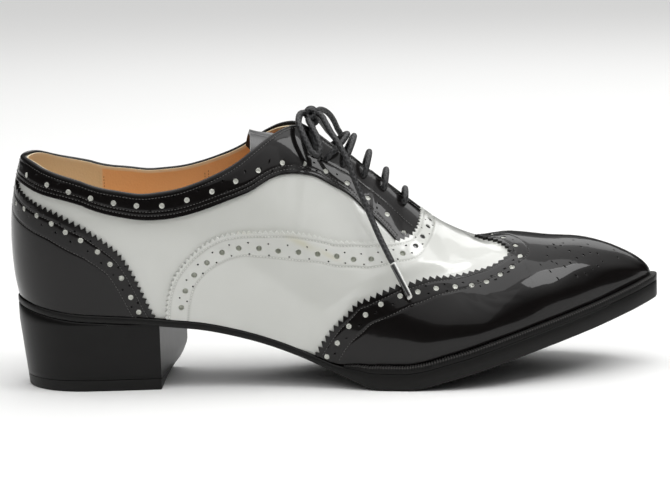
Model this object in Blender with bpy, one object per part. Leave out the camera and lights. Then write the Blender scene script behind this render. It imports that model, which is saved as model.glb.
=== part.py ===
"""A pointed two-tone brogue oxford, right shoe, standing empty on its heel and forefoot.

The frame is in metres: +X to the toe, +Y to the inner side, +Z up. The origin is below the middle of the sole's box.
Every piece is cut from one function, the shoe's last. The last is a row of cross-sections, each a cubic curve from
the feather edge, where the upper meets the sole, up to the ridge along the top. A place on it is a side, a run and a
rise. The side is OUTER or INNER. The run is 0 at the centre of the back and grows to the toe's tip. The rise is 0 at
the feather edge and 1 on the ridge.
"""

from math import cos, pi, radians, sin, sqrt

import bmesh
import bpy
import numpy as np
from mathutils import Vector

OUTER, INNER = -1, 1

# Sizes of the last and the sole, in metres.
SOLE_LENGTH = 0.278
BALL_WIDTH = 0.088
INSTEP_HEIGHT = 0.0935
HEEL_RISE = 0.0300
TOE_SPRING = 0.0290

# Thicknesses, ledges and clearances.
WALL = 0.0016
PANEL = 0.0010
SEAT_PLATE = 0.0030
FORE_PLATE = 0.0073
WELT = 0.0030
WELT_WIDTH = 0.0100
SEAT_LEDGE = 0.0020
WELT_LEDGE = 0.0045
INSOLE = 0.0022
INSOLE_CLEARANCE = 0.0009
INSOLE_TOE_CLEARANCE = 0.0036
TONGUE = 0.0016
GAP = 0.0003

# The tongue's free end lies lower than the last: how deep in its middle, over what length, and the share at its edges.
TONGUE_SAG = 0.0080
SAG_LENGTH = 0.02363
SAG_AT_EDGE = 0.15
SAG_FROM_RISE = 0.8

# The heel.
HEEL_LENGTH = 0.0605
HEEL_SKEW = 0.0090
HEEL_SKEW_RISE = 0.4
TOP_PIECE = 0.0046
HEEL_TAPER = 0.05
HEEL_BACK_TAPER = 0.11
HEEL_LEVELS = (0.012, 0.021)

# The lace.
LACE = 0.0025
LACE_SEAT = 0.0009
BAR_STEPS = 8
KNOT_SIZE = (0.00608, 0.00704, 0.00544)
KNOT_SEAT = 0.00288
CORD_SPACING = 0.0055
LOOP_SPACING = 0.0044
AGLET_LENGTH = 0.0170
AGLET = 0.0031

# Height of the last's underside above the floor, as (share of the sole's length, share of HEEL_RISE).
ARCH = (
    (0.00, 1.220), (0.06, 1.080), (0.10, 1.020), (0.15, 0.980), (0.20, 0.945), (0.25, 0.890), (0.30, 0.830),
    (0.35, 0.727), (0.40, 0.593), (0.45, 0.420), (0.50, 0.213), (0.53, 0.095), (0.555, 0.010), (0.565, 0.0),
    (1.00, 0.0),
)
# The same under the toe, as (share of the sole's length, share of TOE_SPRING).
SPRING = (
    (0.00, 0.0), (0.605, 0.0), (0.63, 0.040), (0.66, 0.115), (0.70, 0.215), (0.75, 0.352), (0.80, 0.480),
    (0.85, 0.600), (0.90, 0.720), (0.95, 0.855), (1.00, 1.0),
)
# How far the sole has grown from its seat thickness to its forefoot thickness.
FORE = ((0.00, 0.0), (0.465, 0.0), (0.50, 0.145), (0.53, 0.64), (0.56, 1.0), (1.00, 1.0))

LAST_LENGTH_SHARE = 0.9838
FAN_SHARE = 0.1223
FAN_FEATHER = 0.105
FAN_BULGE = 0.1306
FAN_CROWN = 0.1025

# Cross-sections from the heel's side to the tip. The run is a share of the sole's length, the half-widths of feather
# and wall are shares of BALL_WIDTH for the outer and inner side, wall_up is a share of the ridge's own height, crown
# and lean are shares of BALL_WIDTH, and ridge is a share of INSTEP_HEIGHT.
SECTIONS = (
    # run, feather_out, feather_in, wall_out, wall_in, wall_up, crown, lean, ridge
    (0.1223, 0.2875, 0.2840, 0.3466, 0.3466, 0.34, 0.3864, 0.000, 0.9626),
    (0.1978, 0.2875, 0.2660, 0.3523, 0.3523, 0.34, 0.3864, 0.000, 0.9626),
    (0.2878, 0.2739, 0.2160, 0.3580, 0.3580, 0.34, 0.3523, 0.006, 0.9733),
    (0.3777, 0.2841, 0.1966, 0.3693, 0.3523, 0.35, 0.2955, 0.011, 0.9893),
    (0.4424, 0.3182, 0.2330, 0.3864, 0.3580, 0.36, 0.2330, 0.017, 1.0000),
    (0.5036, 0.3659, 0.3011, 0.4205, 0.3807, 0.37, 0.2159, 0.023, 0.9326),
    (0.5576, 0.4091, 0.3636, 0.4602, 0.4205, 0.38, 0.2273, 0.028, 0.8128),
    (0.6115, 0.4432, 0.4148, 0.4943, 0.4659, 0.37, 0.2557, 0.034, 0.6791),
    (0.6655, 0.4545, 0.4432, 0.5057, 0.4943, 0.36, 0.2955, 0.045, 0.5187),
    (0.7194, 0.4386, 0.4466, 0.4830, 0.4886, 0.38, 0.3068, 0.051, 0.4064),
    (0.7734, 0.3864, 0.4205, 0.4261, 0.4602, 0.42, 0.2955, 0.057, 0.3668),
    (0.8273, 0.3068, 0.3705, 0.3409, 0.4045, 0.46, 0.2557, 0.060, 0.3080),
    (0.8813, 0.2080, 0.2989, 0.2330, 0.3239, 0.50, 0.1932, 0.0625, 0.2545),
    (0.9209, 0.1227, 0.2341, 0.1409, 0.2523, 0.52, 0.1364, 0.0625, 0.1925),
    (0.9496, 0.0568, 0.1795, 0.0705, 0.1932, 0.55, 0.0909, 0.0625, 0.1305),
    (0.9712, -0.0057, 0.1307, 0.0034, 0.1409, 0.60, 0.0534, 0.0625, 0.0706),
    (0.9838, -0.0625, 0.0625, -0.0625, 0.0625, 0.60, 0.0000, 0.0625, 0.0000),
)

# Edges of the upper and its panels, as (run's share of the sole's length, rise).
TOPLINE = (
    (0.00, 0.562), (0.05, 0.560), (0.08, 0.537), (0.11, 0.515), (0.14, 0.490), (0.18, 0.475), (0.212, 0.469),
    (0.24, 0.480), (0.28, 0.506), (0.317, 0.550), (0.36, 0.628), (0.392, 0.719), (0.43, 0.842), (0.45, 0.912),
    (0.47, 0.935), (0.50, 0.945), (0.60, 0.950), (0.618, 0.955), (0.632, 1.0), (1.00, 1.0),
)
INNER_RAISE = ((0.00, 0.0), (0.08, 0.005), (0.20, 0.028), (0.30, 0.022), (0.38, 0.012), (0.45, 0.0), (1.00, 0.0))
BAND_EDGE = (
    (0.00, 0.468), (0.04, 0.462), (0.072, 0.444), (0.107, 0.428), (0.14, 0.400), (0.18, 0.381), (0.21, 0.375),
    (0.24, 0.381), (0.29, 0.411), (0.34, 0.467), (0.374, 0.513), (0.41, 0.582), (0.45, 0.634),
)
COUNTER_EDGE = (
    (0.00, 0.460), (0.018, 0.452), (0.03, 0.434), (0.044, 0.420), (0.074, 0.394), (0.096, 0.375), (0.113, 0.350),
    (0.138, 0.312), (0.158, 0.281), (0.174, 0.250), (0.187, 0.206), (0.198, 0.156), (0.207, 0.106),
    (0.216, 0.050), (0.225, 0.0),
)
FACING_EDGE = (
    (0.45, 0.634), (0.478, 0.667), (0.50, 0.675), (0.523, 0.669), (0.547, 0.646), (0.57, 0.622), (0.596, 0.577),
    (0.608, 0.625), (0.618, 0.685), (0.625, 0.755), (0.632, 0.880),
)
VAMP_EDGE = (
    (0.246, 0.0), (0.250, 0.088), (0.259, 0.163), (0.277, 0.225), (0.300, 0.281), (0.327, 0.325), (0.365, 0.356),
    (0.405, 0.375), (0.453, 0.403), (0.487, 0.430), (0.522, 0.452), (0.560, 0.498), (0.590, 0.548),
    (0.608, 0.603), (0.618, 0.640), (0.625, 0.685), (0.632, 0.765), (0.636, 0.865), (0.640, 0.965), (0.648, 1.0),
)
WING_EDGE = (
    (0.466, 0.0), (0.477, 0.062), (0.489, 0.119), (0.523, 0.219), (0.550, 0.288), (0.582, 0.356), (0.617, 0.419),
    (0.649, 0.488), (0.681, 0.544), (0.708, 0.588), (0.739, 0.613), (0.757, 0.638), (0.764, 0.700),
)
WING_PEAK = ((0.717, 1.0), (0.728, 0.944), (0.741, 0.895), (0.754, 0.812), (0.764, 0.700))
FACING_START = 0.45
FACING_END = 0.632
FACING_TOP = 0.955
PEAK_RUN = 0.717
CUSP_RUN = 0.764
CUSP_RISE = 0.700
WELT_START = 0.512
TOE_START = 0.8

# How far the vamp's edge stays from the wing tip's: above the wings and under the peak, as rises, and the peak's blunt
# point as a share of the sole's length.
ABOVE_WING = 0.010
UNDER_PEAK = 0.022
PEAK_POINT = 0.003

# The tongue: (run, rise of its edge on each side).
TONGUE_EDGE = (
    (0.376, 0.830), (0.385, 0.805), (0.42, 0.765), (0.47, 0.735), (0.54, 0.745), (0.60, 0.775), (0.64, 0.830),
    (0.655, 0.900),
)

# Eyelets and the bars of lace over them: (run, rise, the bar's height over the ridge, its lean to the toe).
BARS = (
    (0.606, 0.869, 0.0037, -0.0006),
    (0.575, 0.850, 0.0051, -0.0010),
    (0.545, 0.838, 0.0069, -0.0012),
    (0.516, 0.819, 0.0085, 0.0011),
    (0.491, 0.795, 0.0082, 0.0056),
    (0.474, 0.770, 0.0029, -0.0036),
)

# Stations along the run and rows up the rise, shared by every panel so that their facets lie parallel.
FAN_STATIONS = 6
RUNS = (
    0.150, 0.178, 0.205, 0.232, 0.258, 0.284, 0.310, 0.336, 0.362, 0.388, 0.410, 0.430, 0.450, 0.472, 0.495, 0.520,
    0.545, 0.570, 0.595, 0.608, 0.618, 0.625, 0.632, 0.636, 0.640, 0.655, 0.675, 0.695, 0.717, 0.728, 0.741, 0.754,
    0.764, 0.788, 0.814, 0.840, 0.866, 0.892, 0.916, 0.937, 0.954, 0.968, 0.978,
)
ROWS = (0.0, 0.08, 0.18, 0.28, 0.38, 0.48, 0.58, 0.68, 0.78, 0.88, 1.0)
NEAREST_ROW = 0.022
NEAREST_STATION = 0.004
COUNTER_STATIONS = (0.018, 0.030, 0.174, 0.187, 0.207)
HEEL_STATIONS = (0.35, 0.7, 1.0)

# Steps for the last's slopes, along the run in metres and up the rise.
RUN_STEP = 0.0004
RISE_STEP = 0.004

LAST_LENGTH = LAST_LENGTH_SHARE * SOLE_LENGTH
FAN = FAN_SHARE * SOLE_LENGTH
MIDDLE = SOLE_LENGTH / 2


def smooth(table, x, column=1, flat_end=False):
    """Reads a column of a table at x along a smooth curve through its points."""
    xs = [row[0] for row in table]
    ys = [row[column] for row in table]
    if xs[0] > xs[-1]:
        xs, ys = xs[::-1], ys[::-1]
    last = len(xs) - 1
    slopes = [(ys[i + 1] - ys[i]) / (xs[i + 1] - xs[i]) for i in range(last)]
    steps = [xs[i + 1] - xs[i] for i in range(last)]
    bends = [slopes[0]]
    for i in range(1, last):
        both = steps[i - 1] + steps[i]
        bends.append((slopes[i - 1] * steps[i] + slopes[i] * steps[i - 1]) / both)
    bends.append(0.0 if flat_end else slopes[-1])
    x = min(max(x, xs[0]), xs[-1])
    i = min(int(np.searchsorted(xs, x, side="right")) - 1, last - 1)
    u = (x - xs[i]) / steps[i]
    value = (2 * u**3 - 3 * u**2 + 1) * ys[i] + (3 * u**2 - 2 * u**3) * ys[i + 1]
    return value + (u**3 - 2 * u**2 + u) * steps[i] * bends[i] + (u**3 - u**2) * steps[i] * bends[i + 1]


def straight(table, x):
    """Reads a table at x along straight lines between its points."""
    return float(np.interp(x, [row[0] for row in table], [row[1] for row in table]))


def underside(along):
    """Height of the outsole's walking face, where along is the distance from the heel's back."""
    share = along / SOLE_LENGTH
    arch = HEEL_RISE * max(0.0, smooth(ARCH, share)) if share < ARCH[-2][0] else 0.0
    spring = TOE_SPRING * max(0.0, smooth(SPRING, share)) if share > SPRING[1][0] else 0.0
    return arch + spring


def fore(along):
    return min(max(smooth(FORE, along / SOLE_LENGTH), 0.0), 1.0)


def plate_top(along):
    return underside(along) + SEAT_PLATE + (FORE_PLATE - SEAT_PLATE) * fore(along)


def feather(along):
    """Height where the upper starts, above the plate and the welt."""
    return plate_top(along) + GAP + WELT * fore(along)


def blunt(share):
    """Distance from the tip on a scale that runs evenly round the toe."""
    return sqrt(max(0.0, 1.0 - share / LAST_LENGTH_SHARE))


TIPWARD = [(blunt(row[0]),) + row[1:] for row in SECTIONS]


def section(side, along):
    """The four control points of the cross-section on one side."""
    toe = blunt(along / SOLE_LENGTH)
    foot, wall, up = (smooth(TIPWARD, toe, k, True) for k in ((1, 3, 5) if side == OUTER else (2, 4, 5)))
    crown, lean, ridge = (smooth(TIPWARD, toe, k, True) for k in (6, 7, 8))
    low = feather(along)
    top = low + ridge * INSTEP_HEIGHT
    return (
        Vector((along, side * foot * BALL_WIDTH, low)),
        Vector((along, side * wall * BALL_WIDTH, low + up * (top - low))),
        Vector((along, (lean + side * crown) * BALL_WIDTH, top)),
        Vector((along, lean * BALL_WIDTH, top)),
    )


def cubic(points, rise):
    fall = 1.0 - rise
    a, b, c, d = points
    return a * fall**3 + b * (3 * fall**2 * rise) + c * (3 * fall * rise**2) + d * rise**3


def last(side, run, rise):
    """A point of the last, measured from the heel's back. Behind the fan's axis the sections turn about it."""
    if run >= FAN:
        return cubic(section(side, min(run, LAST_LENGTH)), rise)
    turn = (1.0 - run / FAN) * pi / 2
    points = []
    reaches = (FAN_FEATHER, FAN_BULGE, FAN_CROWN, 0.0)
    base = section(side, FAN)
    for point, reach in zip(base, reaches):
        along = FAN - reach * SOLE_LENGTH * sin(turn)
        points.append(Vector((along, point.y * cos(turn), point.z)))
    low = feather(points[0].x)
    points[1].z += low - base[0].z
    points[0].z = low
    return cubic(points, rise)


def outward(side, run, rise):
    """The unit normal of the last, pointing out. It stays in the middle plane on the ridge and at the centre back."""
    if run > LAST_LENGTH * 0.9995:
        return Vector((1, 0, 0))
    step = min(RUN_STEP, (LAST_LENGTH - run) * 0.3)
    along = last(side, run + step, rise) - last(side, run - step if run > step else run, rise)
    if rise > 0.9999 and run >= FAN:
        return Vector((-along.z, 0, along.x)).normalized()
    up = last(side, run, min(rise + RISE_STEP, 1.0)) - last(side, run, max(rise - RISE_STEP, 0.0))
    normal = along.cross(up) * side * -1
    if run < RUN_STEP / 2:
        normal.y = 0
    if rise == 0.0:
        normal.z = 0
    return normal.normalized()


def lifted(side, run, rise, out):
    """A point at a distance out from the last, in the shoe's frame. On the feather edge it stays on that edge."""
    point = last(side, run, rise) + outward(side, run, rise) * out
    if rise == 0.0 or point.z < feather(point.x):
        point.z = feather(point.x)
    point.x -= MIDDLE
    return point


def new_object(name, points, faces, material):
    mesh = bpy.data.meshes.new(name)
    mesh.from_pydata([tuple(p) for p in points], [], faces)
    piece = bpy.data.objects.new(name, mesh)
    bpy.context.scene.collection.objects.link(piece)
    mesh.materials.append(material)
    shape = bmesh.new()
    shape.from_mesh(mesh)
    bmesh.ops.dissolve_degenerate(shape, dist=1e-6, edges=shape.edges)
    bmesh.ops.triangulate(shape, faces=[face for face in shape.faces if len(face.verts) > 3])
    bmesh.ops.recalc_face_normals(shape, faces=shape.faces)
    if shape.calc_volume(signed=True) < 0:
        bmesh.ops.reverse_faces(shape, faces=shape.faces)
    shape.to_mesh(mesh)
    shape.free()
    mesh.shade_smooth()
    mesh.set_sharp_from_angle(angle=radians(40))
    return piece


def stitched(columns):
    """Faces between neighbouring columns. A column is a list of (rise, index) from low to high."""
    faces = []
    for left, right in zip(columns, columns[1:]):
        i = j = 0
        while i < len(left) - 1 or j < len(right) - 1:
            rise_left = left[i + 1][0] if i < len(left) - 1 else 9.0
            rise_right = right[j + 1][0] if j < len(right) - 1 else 9.0
            if abs(rise_left - rise_right) < 1e-6 or (i == len(left) - 2 and j == len(right) - 2):
                faces.append((left[i][1], right[j][1], right[j + 1][1], left[i + 1][1]))
                i += 1
                j += 1
            elif rise_left < rise_right:
                faces.append((left[i][1], right[j][1], left[i + 1][1]))
                i += 1
            else:
                faces.append((left[i][1], right[j][1], right[j + 1][1]))
                j += 1
    return faces


class Shell:
    """A sheet on the last with a thickness, joined from strips of columns."""

    def __init__(self, inner, outer, sag=None):
        self.inner = inner
        self.outer = outer
        self.sag = sag
        self.places = {}
        self.inside = []
        self.outside = []
        self.faces = []

    def index(self, side, run, rise):
        drop = self.sag(run, rise) if self.sag else 0.0
        outside = lifted(side, run, rise, self.outer - drop)
        key = tuple(round(value * 2e5) for value in outside)
        if key not in self.places:
            self.places[key] = len(self.outside)
            self.outside.append(outside)
            self.inside.append(lifted(side, run, rise, self.inner - drop))
        return self.places[key]

    def strip(self, side, runs, low, high, also=None):
        """Adds the sheet between two edges, each a function from the run's share to a rise."""
        columns = []
        for share in runs:
            ends = low(share), high(share)
            rows = [row for row in ROWS if ends[0] + NEAREST_ROW < row < ends[1] - NEAREST_ROW]
            if also and share == also[0]:
                rows = [row for row in rows if abs(row - also[1]) > NEAREST_ROW] + [also[1]]
            rises = sorted({ends[0], ends[1], *rows})
            columns.append([(rise, self.index(side, share * SOLE_LENGTH, rise)) for rise in rises])
        for face in stitched(columns):
            corners = []
            for corner in face:
                if corner not in corners:
                    corners.append(corner)
            if len(corners) > 2:
                self.faces.append(tuple(corners if side == OUTER else corners[::-1]))

    def solid(self, name, material):
        count = len(self.outside)
        faces = list(self.faces) + [tuple(i + count for i in face[::-1]) for face in self.faces]
        edges = {}
        for face in self.faces:
            for a, b in zip(face, face[1:] + face[:1]):
                edges[a, b] = edges.get((a, b), 0) + 1
        for a, b in edges:
            if (b, a) not in edges:
                faces.append((b, a, a + count, b + count))
        return new_object(name, self.outside + self.inside, faces, material)


def tables(edge):
    return lambda share: straight(edge, share)


def nothing(share):
    return 0.0


def ridge(share):
    return 1.0


def topline(side):
    if side == OUTER:
        return tables(TOPLINE)
    return lambda share: straight(TOPLINE, share) + straight(INNER_RAISE, share)


def band_edge(side):
    if side == OUTER:
        return tables(BAND_EDGE)
    return lambda share: straight(BAND_EDGE, share) + straight(INNER_RAISE, share)


def stations(start, stop, extra=()):
    """The shared runs between two ends, with the ends themselves and any others that a panel needs."""
    fan = [FAN_SHARE * k / FAN_STATIONS for k in range(FAN_STATIONS + 1)]
    shared = [share for share in fan + list(RUNS) if start + NEAREST_STATION < share < stop - NEAREST_STATION]
    shared = [share for share in shared if all(abs(share - other) > NEAREST_STATION for other in extra)]
    return sorted({start, stop, *shared, *extra})


def build_upper(leather):
    shell = Shell(-WALL, 0.0)
    for side in (OUTER, INNER):
        shell.strip(side, stations(0.0, LAST_LENGTH_SHARE), nothing, topline(side))
    return shell.solid("upper", leather)


def build_collar_band(leather):
    shell = Shell(GAP, GAP + PANEL)
    for side in (OUTER, INNER):
        stop = FACING_START - GAP / SOLE_LENGTH
        shell.strip(side, stations(0.0, stop), band_edge(side), topline(side))
    return shell.solid("collar_band", leather)


def build_heel_counter(leather):
    shell = Shell(GAP, GAP + PANEL)
    for side in (OUTER, INNER):
        runs = stations(0.0, COUNTER_EDGE[-2][0], COUNTER_STATIONS)
        shell.strip(side, runs, nothing, tables(COUNTER_EDGE))
    return shell.solid("heel_counter", leather)


def build_facing(name, side, leather):
    shell = Shell(GAP, GAP + PANEL)
    top = topline(side)
    runs = stations(FACING_START, FACING_END)
    shell.strip(side, runs, tables(FACING_EDGE), lambda share: min(top(share), FACING_TOP))
    return shell.solid(name, leather)


def build_vamp(leather):
    shell = Shell(GAP, GAP + PANEL)
    wing_start = WING_EDGE[0][0]
    extra = tuple(row[0] for row in VAMP_EDGE[1:4] + WING_EDGE[:2])
    runs = stations(VAMP_EDGE[1][0], WING_PEAK[-2][0], extra)

    def low(share):
        if share <= wing_start:
            return 0.0
        return straight(WING_EDGE, share) + ABOVE_WING

    def high(share):
        if share < PEAK_RUN - PEAK_POINT:
            return straight(VAMP_EDGE, share)
        return straight(WING_PEAK, share) - UNDER_PEAK

    for side in (OUTER, INNER):
        shell.strip(side, runs, low, high)
    return shell.solid("vamp", leather)


def build_wing_tip(leather):
    shell = Shell(GAP, GAP + PANEL)
    cusp = (CUSP_RUN, CUSP_RISE)
    for side in (OUTER, INNER):
        low_wing = stations(WING_EDGE[1][0], CUSP_RUN)
        shell.strip(side, low_wing, nothing, tables(WING_EDGE))
        peak = stations(PEAK_RUN + PEAK_POINT, CUSP_RUN)
        shell.strip(side, peak, tables(WING_PEAK), ridge)
        shell.strip(side, stations(CUSP_RUN, LAST_LENGTH_SHARE), nothing, ridge, cusp)
    return shell.solid("wing_tip", leather)


def tongue_sag(run, rise):
    """How far the tongue's free end lies below the last, most of all in its middle."""
    free = max(0.0, 1.0 - (run - TONGUE_EDGE[0][0] * SOLE_LENGTH) / SAG_LENGTH)
    middle = max(0.0, (rise - SAG_FROM_RISE) / (1.0 - SAG_FROM_RISE))
    return TONGUE_SAG * free**1.5 * (SAG_AT_EDGE + (1.0 - SAG_AT_EDGE) * middle)


def build_tongue(leather):
    top = -WALL - GAP - GAP
    shell = Shell(top - TONGUE, top, tongue_sag)
    edge = tables(TONGUE_EDGE)
    for side in (OUTER, INNER):
        shell.strip(side, stations(TONGUE_EDGE[0][0], TONGUE_EDGE[-1][0]), edge, ridge)
    return shell.solid("tongue", leather)


def plan_outline(inset, start=0.0):
    """The feather edge moved in by a distance, as matching points on the outer and the inner side."""
    rows = []
    for share in stations(start, LAST_LENGTH_SHARE):
        row = []
        for side in (OUTER, INNER):
            run = share * SOLE_LENGTH
            row.append(lifted(side, run, 0.0, -inset(last(side, run, 0.0).x)) + Vector((MIDDLE, 0, 0)))
        rows.append(row)
    return rows


def plate(name, rows, top, bottom, material):
    """A solid between two heights, each a function of the distance from the heel's back."""
    loop = [row[0] for row in rows] + [row[1] for row in rows[::-1]]
    kept = [loop[0]]
    for point in loop[1:]:
        if (point.xy - kept[-1].xy).length > 1e-5:
            kept.append(point)
    if (kept[0].xy - kept[-1].xy).length < 1e-5:
        kept.pop()
    count = len(kept)
    points = [Vector((p.x - MIDDLE, p.y, top(p.x))) for p in kept]
    points += [Vector((p.x - MIDDLE, p.y, bottom(p.x))) for p in kept]
    faces = []
    first, second = 0, count - 1
    if (rows[0][0].xy - rows[0][1].xy).length < 1e-5:
        faces.append((0, 1, count - 1))
        first, second = 1, count - 1
    while second - first > 2:
        faces.append((first, first + 1, second - 1, second))
        first += 1
        second -= 1
    if second - first == 2:
        faces.append((first, first + 1, second))
    faces += [tuple(i + count for i in face[::-1]) for face in faces]
    for i in range(count):
        j = (i + 1) % count
        faces.append((j, i, i + count, j + count))
    return new_object(name, points, faces, material)


def ledge(along):
    """How far the sole stands out past the feather edge."""
    return -(SEAT_LEDGE + (WELT_LEDGE - SEAT_LEDGE) * fore(along))


def build_outsole(rubber):
    return plate("outsole", plan_outline(ledge), plate_top, underside, rubber)


def build_insole(leather):
    def inset(along):
        toeward = max(0.0, along / SOLE_LENGTH - TOE_START) / (1.0 - TOE_START)
        return WALL + INSOLE_CLEARANCE + (INSOLE_TOE_CLEARANCE - INSOLE_CLEARANCE) * toeward

    return plate("insole", plan_outline(inset), lambda x: feather(x) + INSOLE, feather, leather)


def build_welt(leather):
    """A strip along the sole's edge, with the sole's outline outside and open at the waist."""
    outside = plan_outline(ledge, WELT_START)
    inside = plan_outline(lambda along: ledge(along) + WELT_WIDTH, WELT_START)
    outer_line = [row[0] for row in outside] + [row[1] for row in outside[::-1]][1:]
    inner_line = [row[0] for row in inside] + [row[1] for row in inside[::-1]][1:]
    points, faces = [], []
    for p, q in zip(outer_line, inner_line):
        for spot in (p, q):
            points.append(Vector((spot.x - MIDDLE, spot.y, feather(spot.x) - GAP)))
            points.append(Vector((spot.x - MIDDLE, spot.y, plate_top(spot.x) + GAP)))
    for i in range(len(outer_line) - 1):
        a, b = 4 * i, 4 * i + 4
        faces += [(a, b, b + 2, a + 2), (a + 1, a + 3, b + 3, b + 1)]
        faces += [(a, a + 1, b + 1, b), (a + 2, b + 2, b + 3, a + 3)]
    end = len(points) - 4
    faces += [(0, 2, 3, 1), (end, end + 1, end + 3, end + 2)]
    return new_object("welt", points, faces, leather)


def heel_rows(height):
    """The heel's outline at a height, narrower to the floor, with the inner corner of its breast set forward."""
    share = min(max(height / underside(FAN), 0.0), 1.0)
    breast = HEEL_LENGTH + SEAT_LEDGE * 2
    skew = HEEL_SKEW * min(1.0, share / HEEL_SKEW_RISE) ** 0.5
    shrink = 1.0 - HEEL_TAPER * (1.0 - share)
    rows = []
    fan = [FAN_SHARE * k / FAN_STATIONS for k in range(FAN_STATIONS + 1)]
    for part in (*fan, *HEEL_STATIONS):
        row = []
        for side in (OUTER, INNER):
            run = part * SOLE_LENGTH
            if part > FAN_SHARE:
                stop = breast + (skew if side == INNER else 0.0)
                run = FAN + (stop - FAN) * part
            spot = lifted(side, run, 0.0, -ledge(last(side, run, 0.0).x)) + Vector((MIDDLE, 0, 0))
            if part <= FAN_SHARE:
                spot.x = FAN - (FAN - spot.x) * (1.0 - HEEL_BACK_TAPER * (1.0 - share))
            else:
                spot.x = run
            spot.y *= shrink
            row.append(spot)
        rows.append(row)
    return rows


def build_heel(name, levels, top_follows, material):
    """A solid through the heel's outlines at rising heights. The top one may follow the sole."""
    loops = []
    for height in levels:
        rows = heel_rows(height)
        loop = [rows[0][0]] + [row[0] for row in rows[1:]] + [row[1] for row in rows[:0:-1]]
        follows = top_follows and height == levels[-1]
        loops.append([Vector((p.x - MIDDLE, p.y, underside(p.x) - GAP if follows else height)) for p in loop])
    count = len(loops[0])
    points = [point for loop in loops for point in loop]
    faces = []
    for k in range(len(loops) - 1):
        for i in range(count):
            j = (i + 1) % count
            a, b = k * count, (k + 1) * count
            faces.append((a + i, a + j, b + j, b + i))
    top = (len(loops) - 1) * count
    caps = [(0, 1, count - 1)]
    first, second = 1, count - 1
    while second - first > 1:
        caps.append((first, first + 1, second - 1, second))
        first += 1
        second -= 1
    faces += [tuple(i + top for i in cap) for cap in caps] + [cap[::-1] for cap in caps]
    return new_object(name, points, faces, material)


def along_curve(points, spacing):
    """Points at about a spacing, read from a smooth curve through the given ones."""
    points = [Vector(p) for p in points]
    lengths = [0.0]
    for a, b in zip(points, points[1:]):
        lengths.append(lengths[-1] + (b - a).length)
    tables3 = [[(lengths[i], points[i][axis]) for i in range(len(points))] for axis in range(3)]
    count = max(2, round(lengths[-1] / spacing))
    return [Vector([smooth(t, lengths[-1] * k / count) for t in tables3]) for k in range(count + 1)]


def tube(name, points, diameter, material):
    curve = bpy.data.curves.new(name, "CURVE")
    curve.dimensions = "3D"
    curve.bevel_depth = diameter / 2
    curve.bevel_resolution = 2
    curve.use_fill_caps = True
    line = curve.splines.new("POLY")
    line.points.add(len(points) - 1)
    for spot, point in zip(line.points, points):
        spot.co = (*point, 1.0)
    curve.materials.append(material)
    piece = bpy.data.objects.new(name, curve)
    bpy.context.scene.collection.objects.link(piece)
    return piece


def bar_points(share, rise, height, lean):
    """An arch of lace from the outer eyelet over the throat to the inner one."""
    run = share * SOLE_LENGTH
    out = GAP + PANEL + GAP + LACE_SEAT
    start = lifted(OUTER, run, rise, out)
    stop = lifted(INNER, run, rise, out)
    crest = lifted(OUTER, run, 1.0, 0.0)
    up = outward(OUTER, run, 1.0)
    toe = Vector((up.z, 0, -up.x))
    rise_to_peak = crest + up * height + toe * lean - (start + stop) / 2
    points = []
    for k in range(BAR_STEPS + 1):
        turn = pi * k / BAR_STEPS
        points.append(start.lerp(stop, (1 - cos(turn)) / 2) + rise_to_peak * sin(turn))
    return points


def build_bars(cotton):
    for number, (share, rise, height, lean) in enumerate(BARS, 1):
        tube(f"lace_bar_{number}", bar_points(share, rise, height, lean), LACE, cotton)


def build_knot(cotton):
    """A flattened ball over the top bar."""
    peak = bar_points(*BARS[-1])[BAR_STEPS // 2]
    centre = peak + Vector((0, 0, LACE / 2 + GAP + KNOT_SEAT))
    mesh = bpy.data.meshes.new("lace_knot")
    shape = bmesh.new()
    bmesh.ops.create_uvsphere(shape, u_segments=12, v_segments=8, radius=0.5)
    bmesh.ops.scale(shape, vec=KNOT_SIZE, verts=shape.verts)
    bmesh.ops.translate(shape, vec=centre, verts=shape.verts)
    shape.to_mesh(mesh)
    shape.free()
    mesh.materials.append(cotton)
    mesh.shade_smooth()
    piece = bpy.data.objects.new("lace_knot", mesh)
    bpy.context.scene.collection.objects.link(piece)
    return centre


# Routes of the bow, from the knot's centre, in metres. Each starts on the knot, and a loop ends there too.
LOOP_OUTER = (
    (-0.0024, -0.0020, 0.0025), (-0.0037, -0.0044, 0.0035), (-0.0050, -0.0078, 0.0030), (-0.0054, -0.0112, 0.0004),
    (-0.0038, -0.0162, -0.0054), (-0.0018, -0.0189, -0.0107), (0.0006, -0.0210, -0.0149), (0.0024, -0.0217, -0.0158),
    (0.0036, -0.0207, -0.0138), (0.0028, -0.0176, -0.0094), (0.0008, -0.0132, -0.0052), (-0.0006, -0.0092, -0.0028),
    (-0.0012, -0.0061, -0.0017), (-0.0013, -0.0034, -0.0011),
)
LOOP_INNER = (
    (0.0024, 0.0020, 0.0025), (0.0037, 0.0044, 0.0034), (0.0056, 0.0075, 0.0024), (0.0078, 0.0115, -0.0004),
    (0.0095, 0.0152, -0.0042), (0.0110, 0.0192, -0.0088), (0.0124, 0.0228, -0.0137), (0.0110, 0.0240, -0.0148),
    (0.0078, 0.0210, -0.0114), (0.0054, 0.0160, -0.0072), (0.0040, 0.0108, -0.0042), (0.0027, 0.0062, -0.0020),
    (0.0017, 0.0033, -0.0009),
)
END_OUTER = (
    (0.0028, -0.0024, -0.0004), (0.0045, -0.0052, -0.0012), (0.0062, -0.0092, -0.0038), (0.0085, -0.0137, -0.0076),
    (0.0117, -0.0179, -0.0124), (0.0145, -0.0209, -0.0176), (0.0182, -0.0242, -0.0277), (0.0229, -0.0277, -0.0390),
    (0.0271, -0.0323, -0.0491), (0.0324, -0.0379, -0.0599),
)
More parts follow.
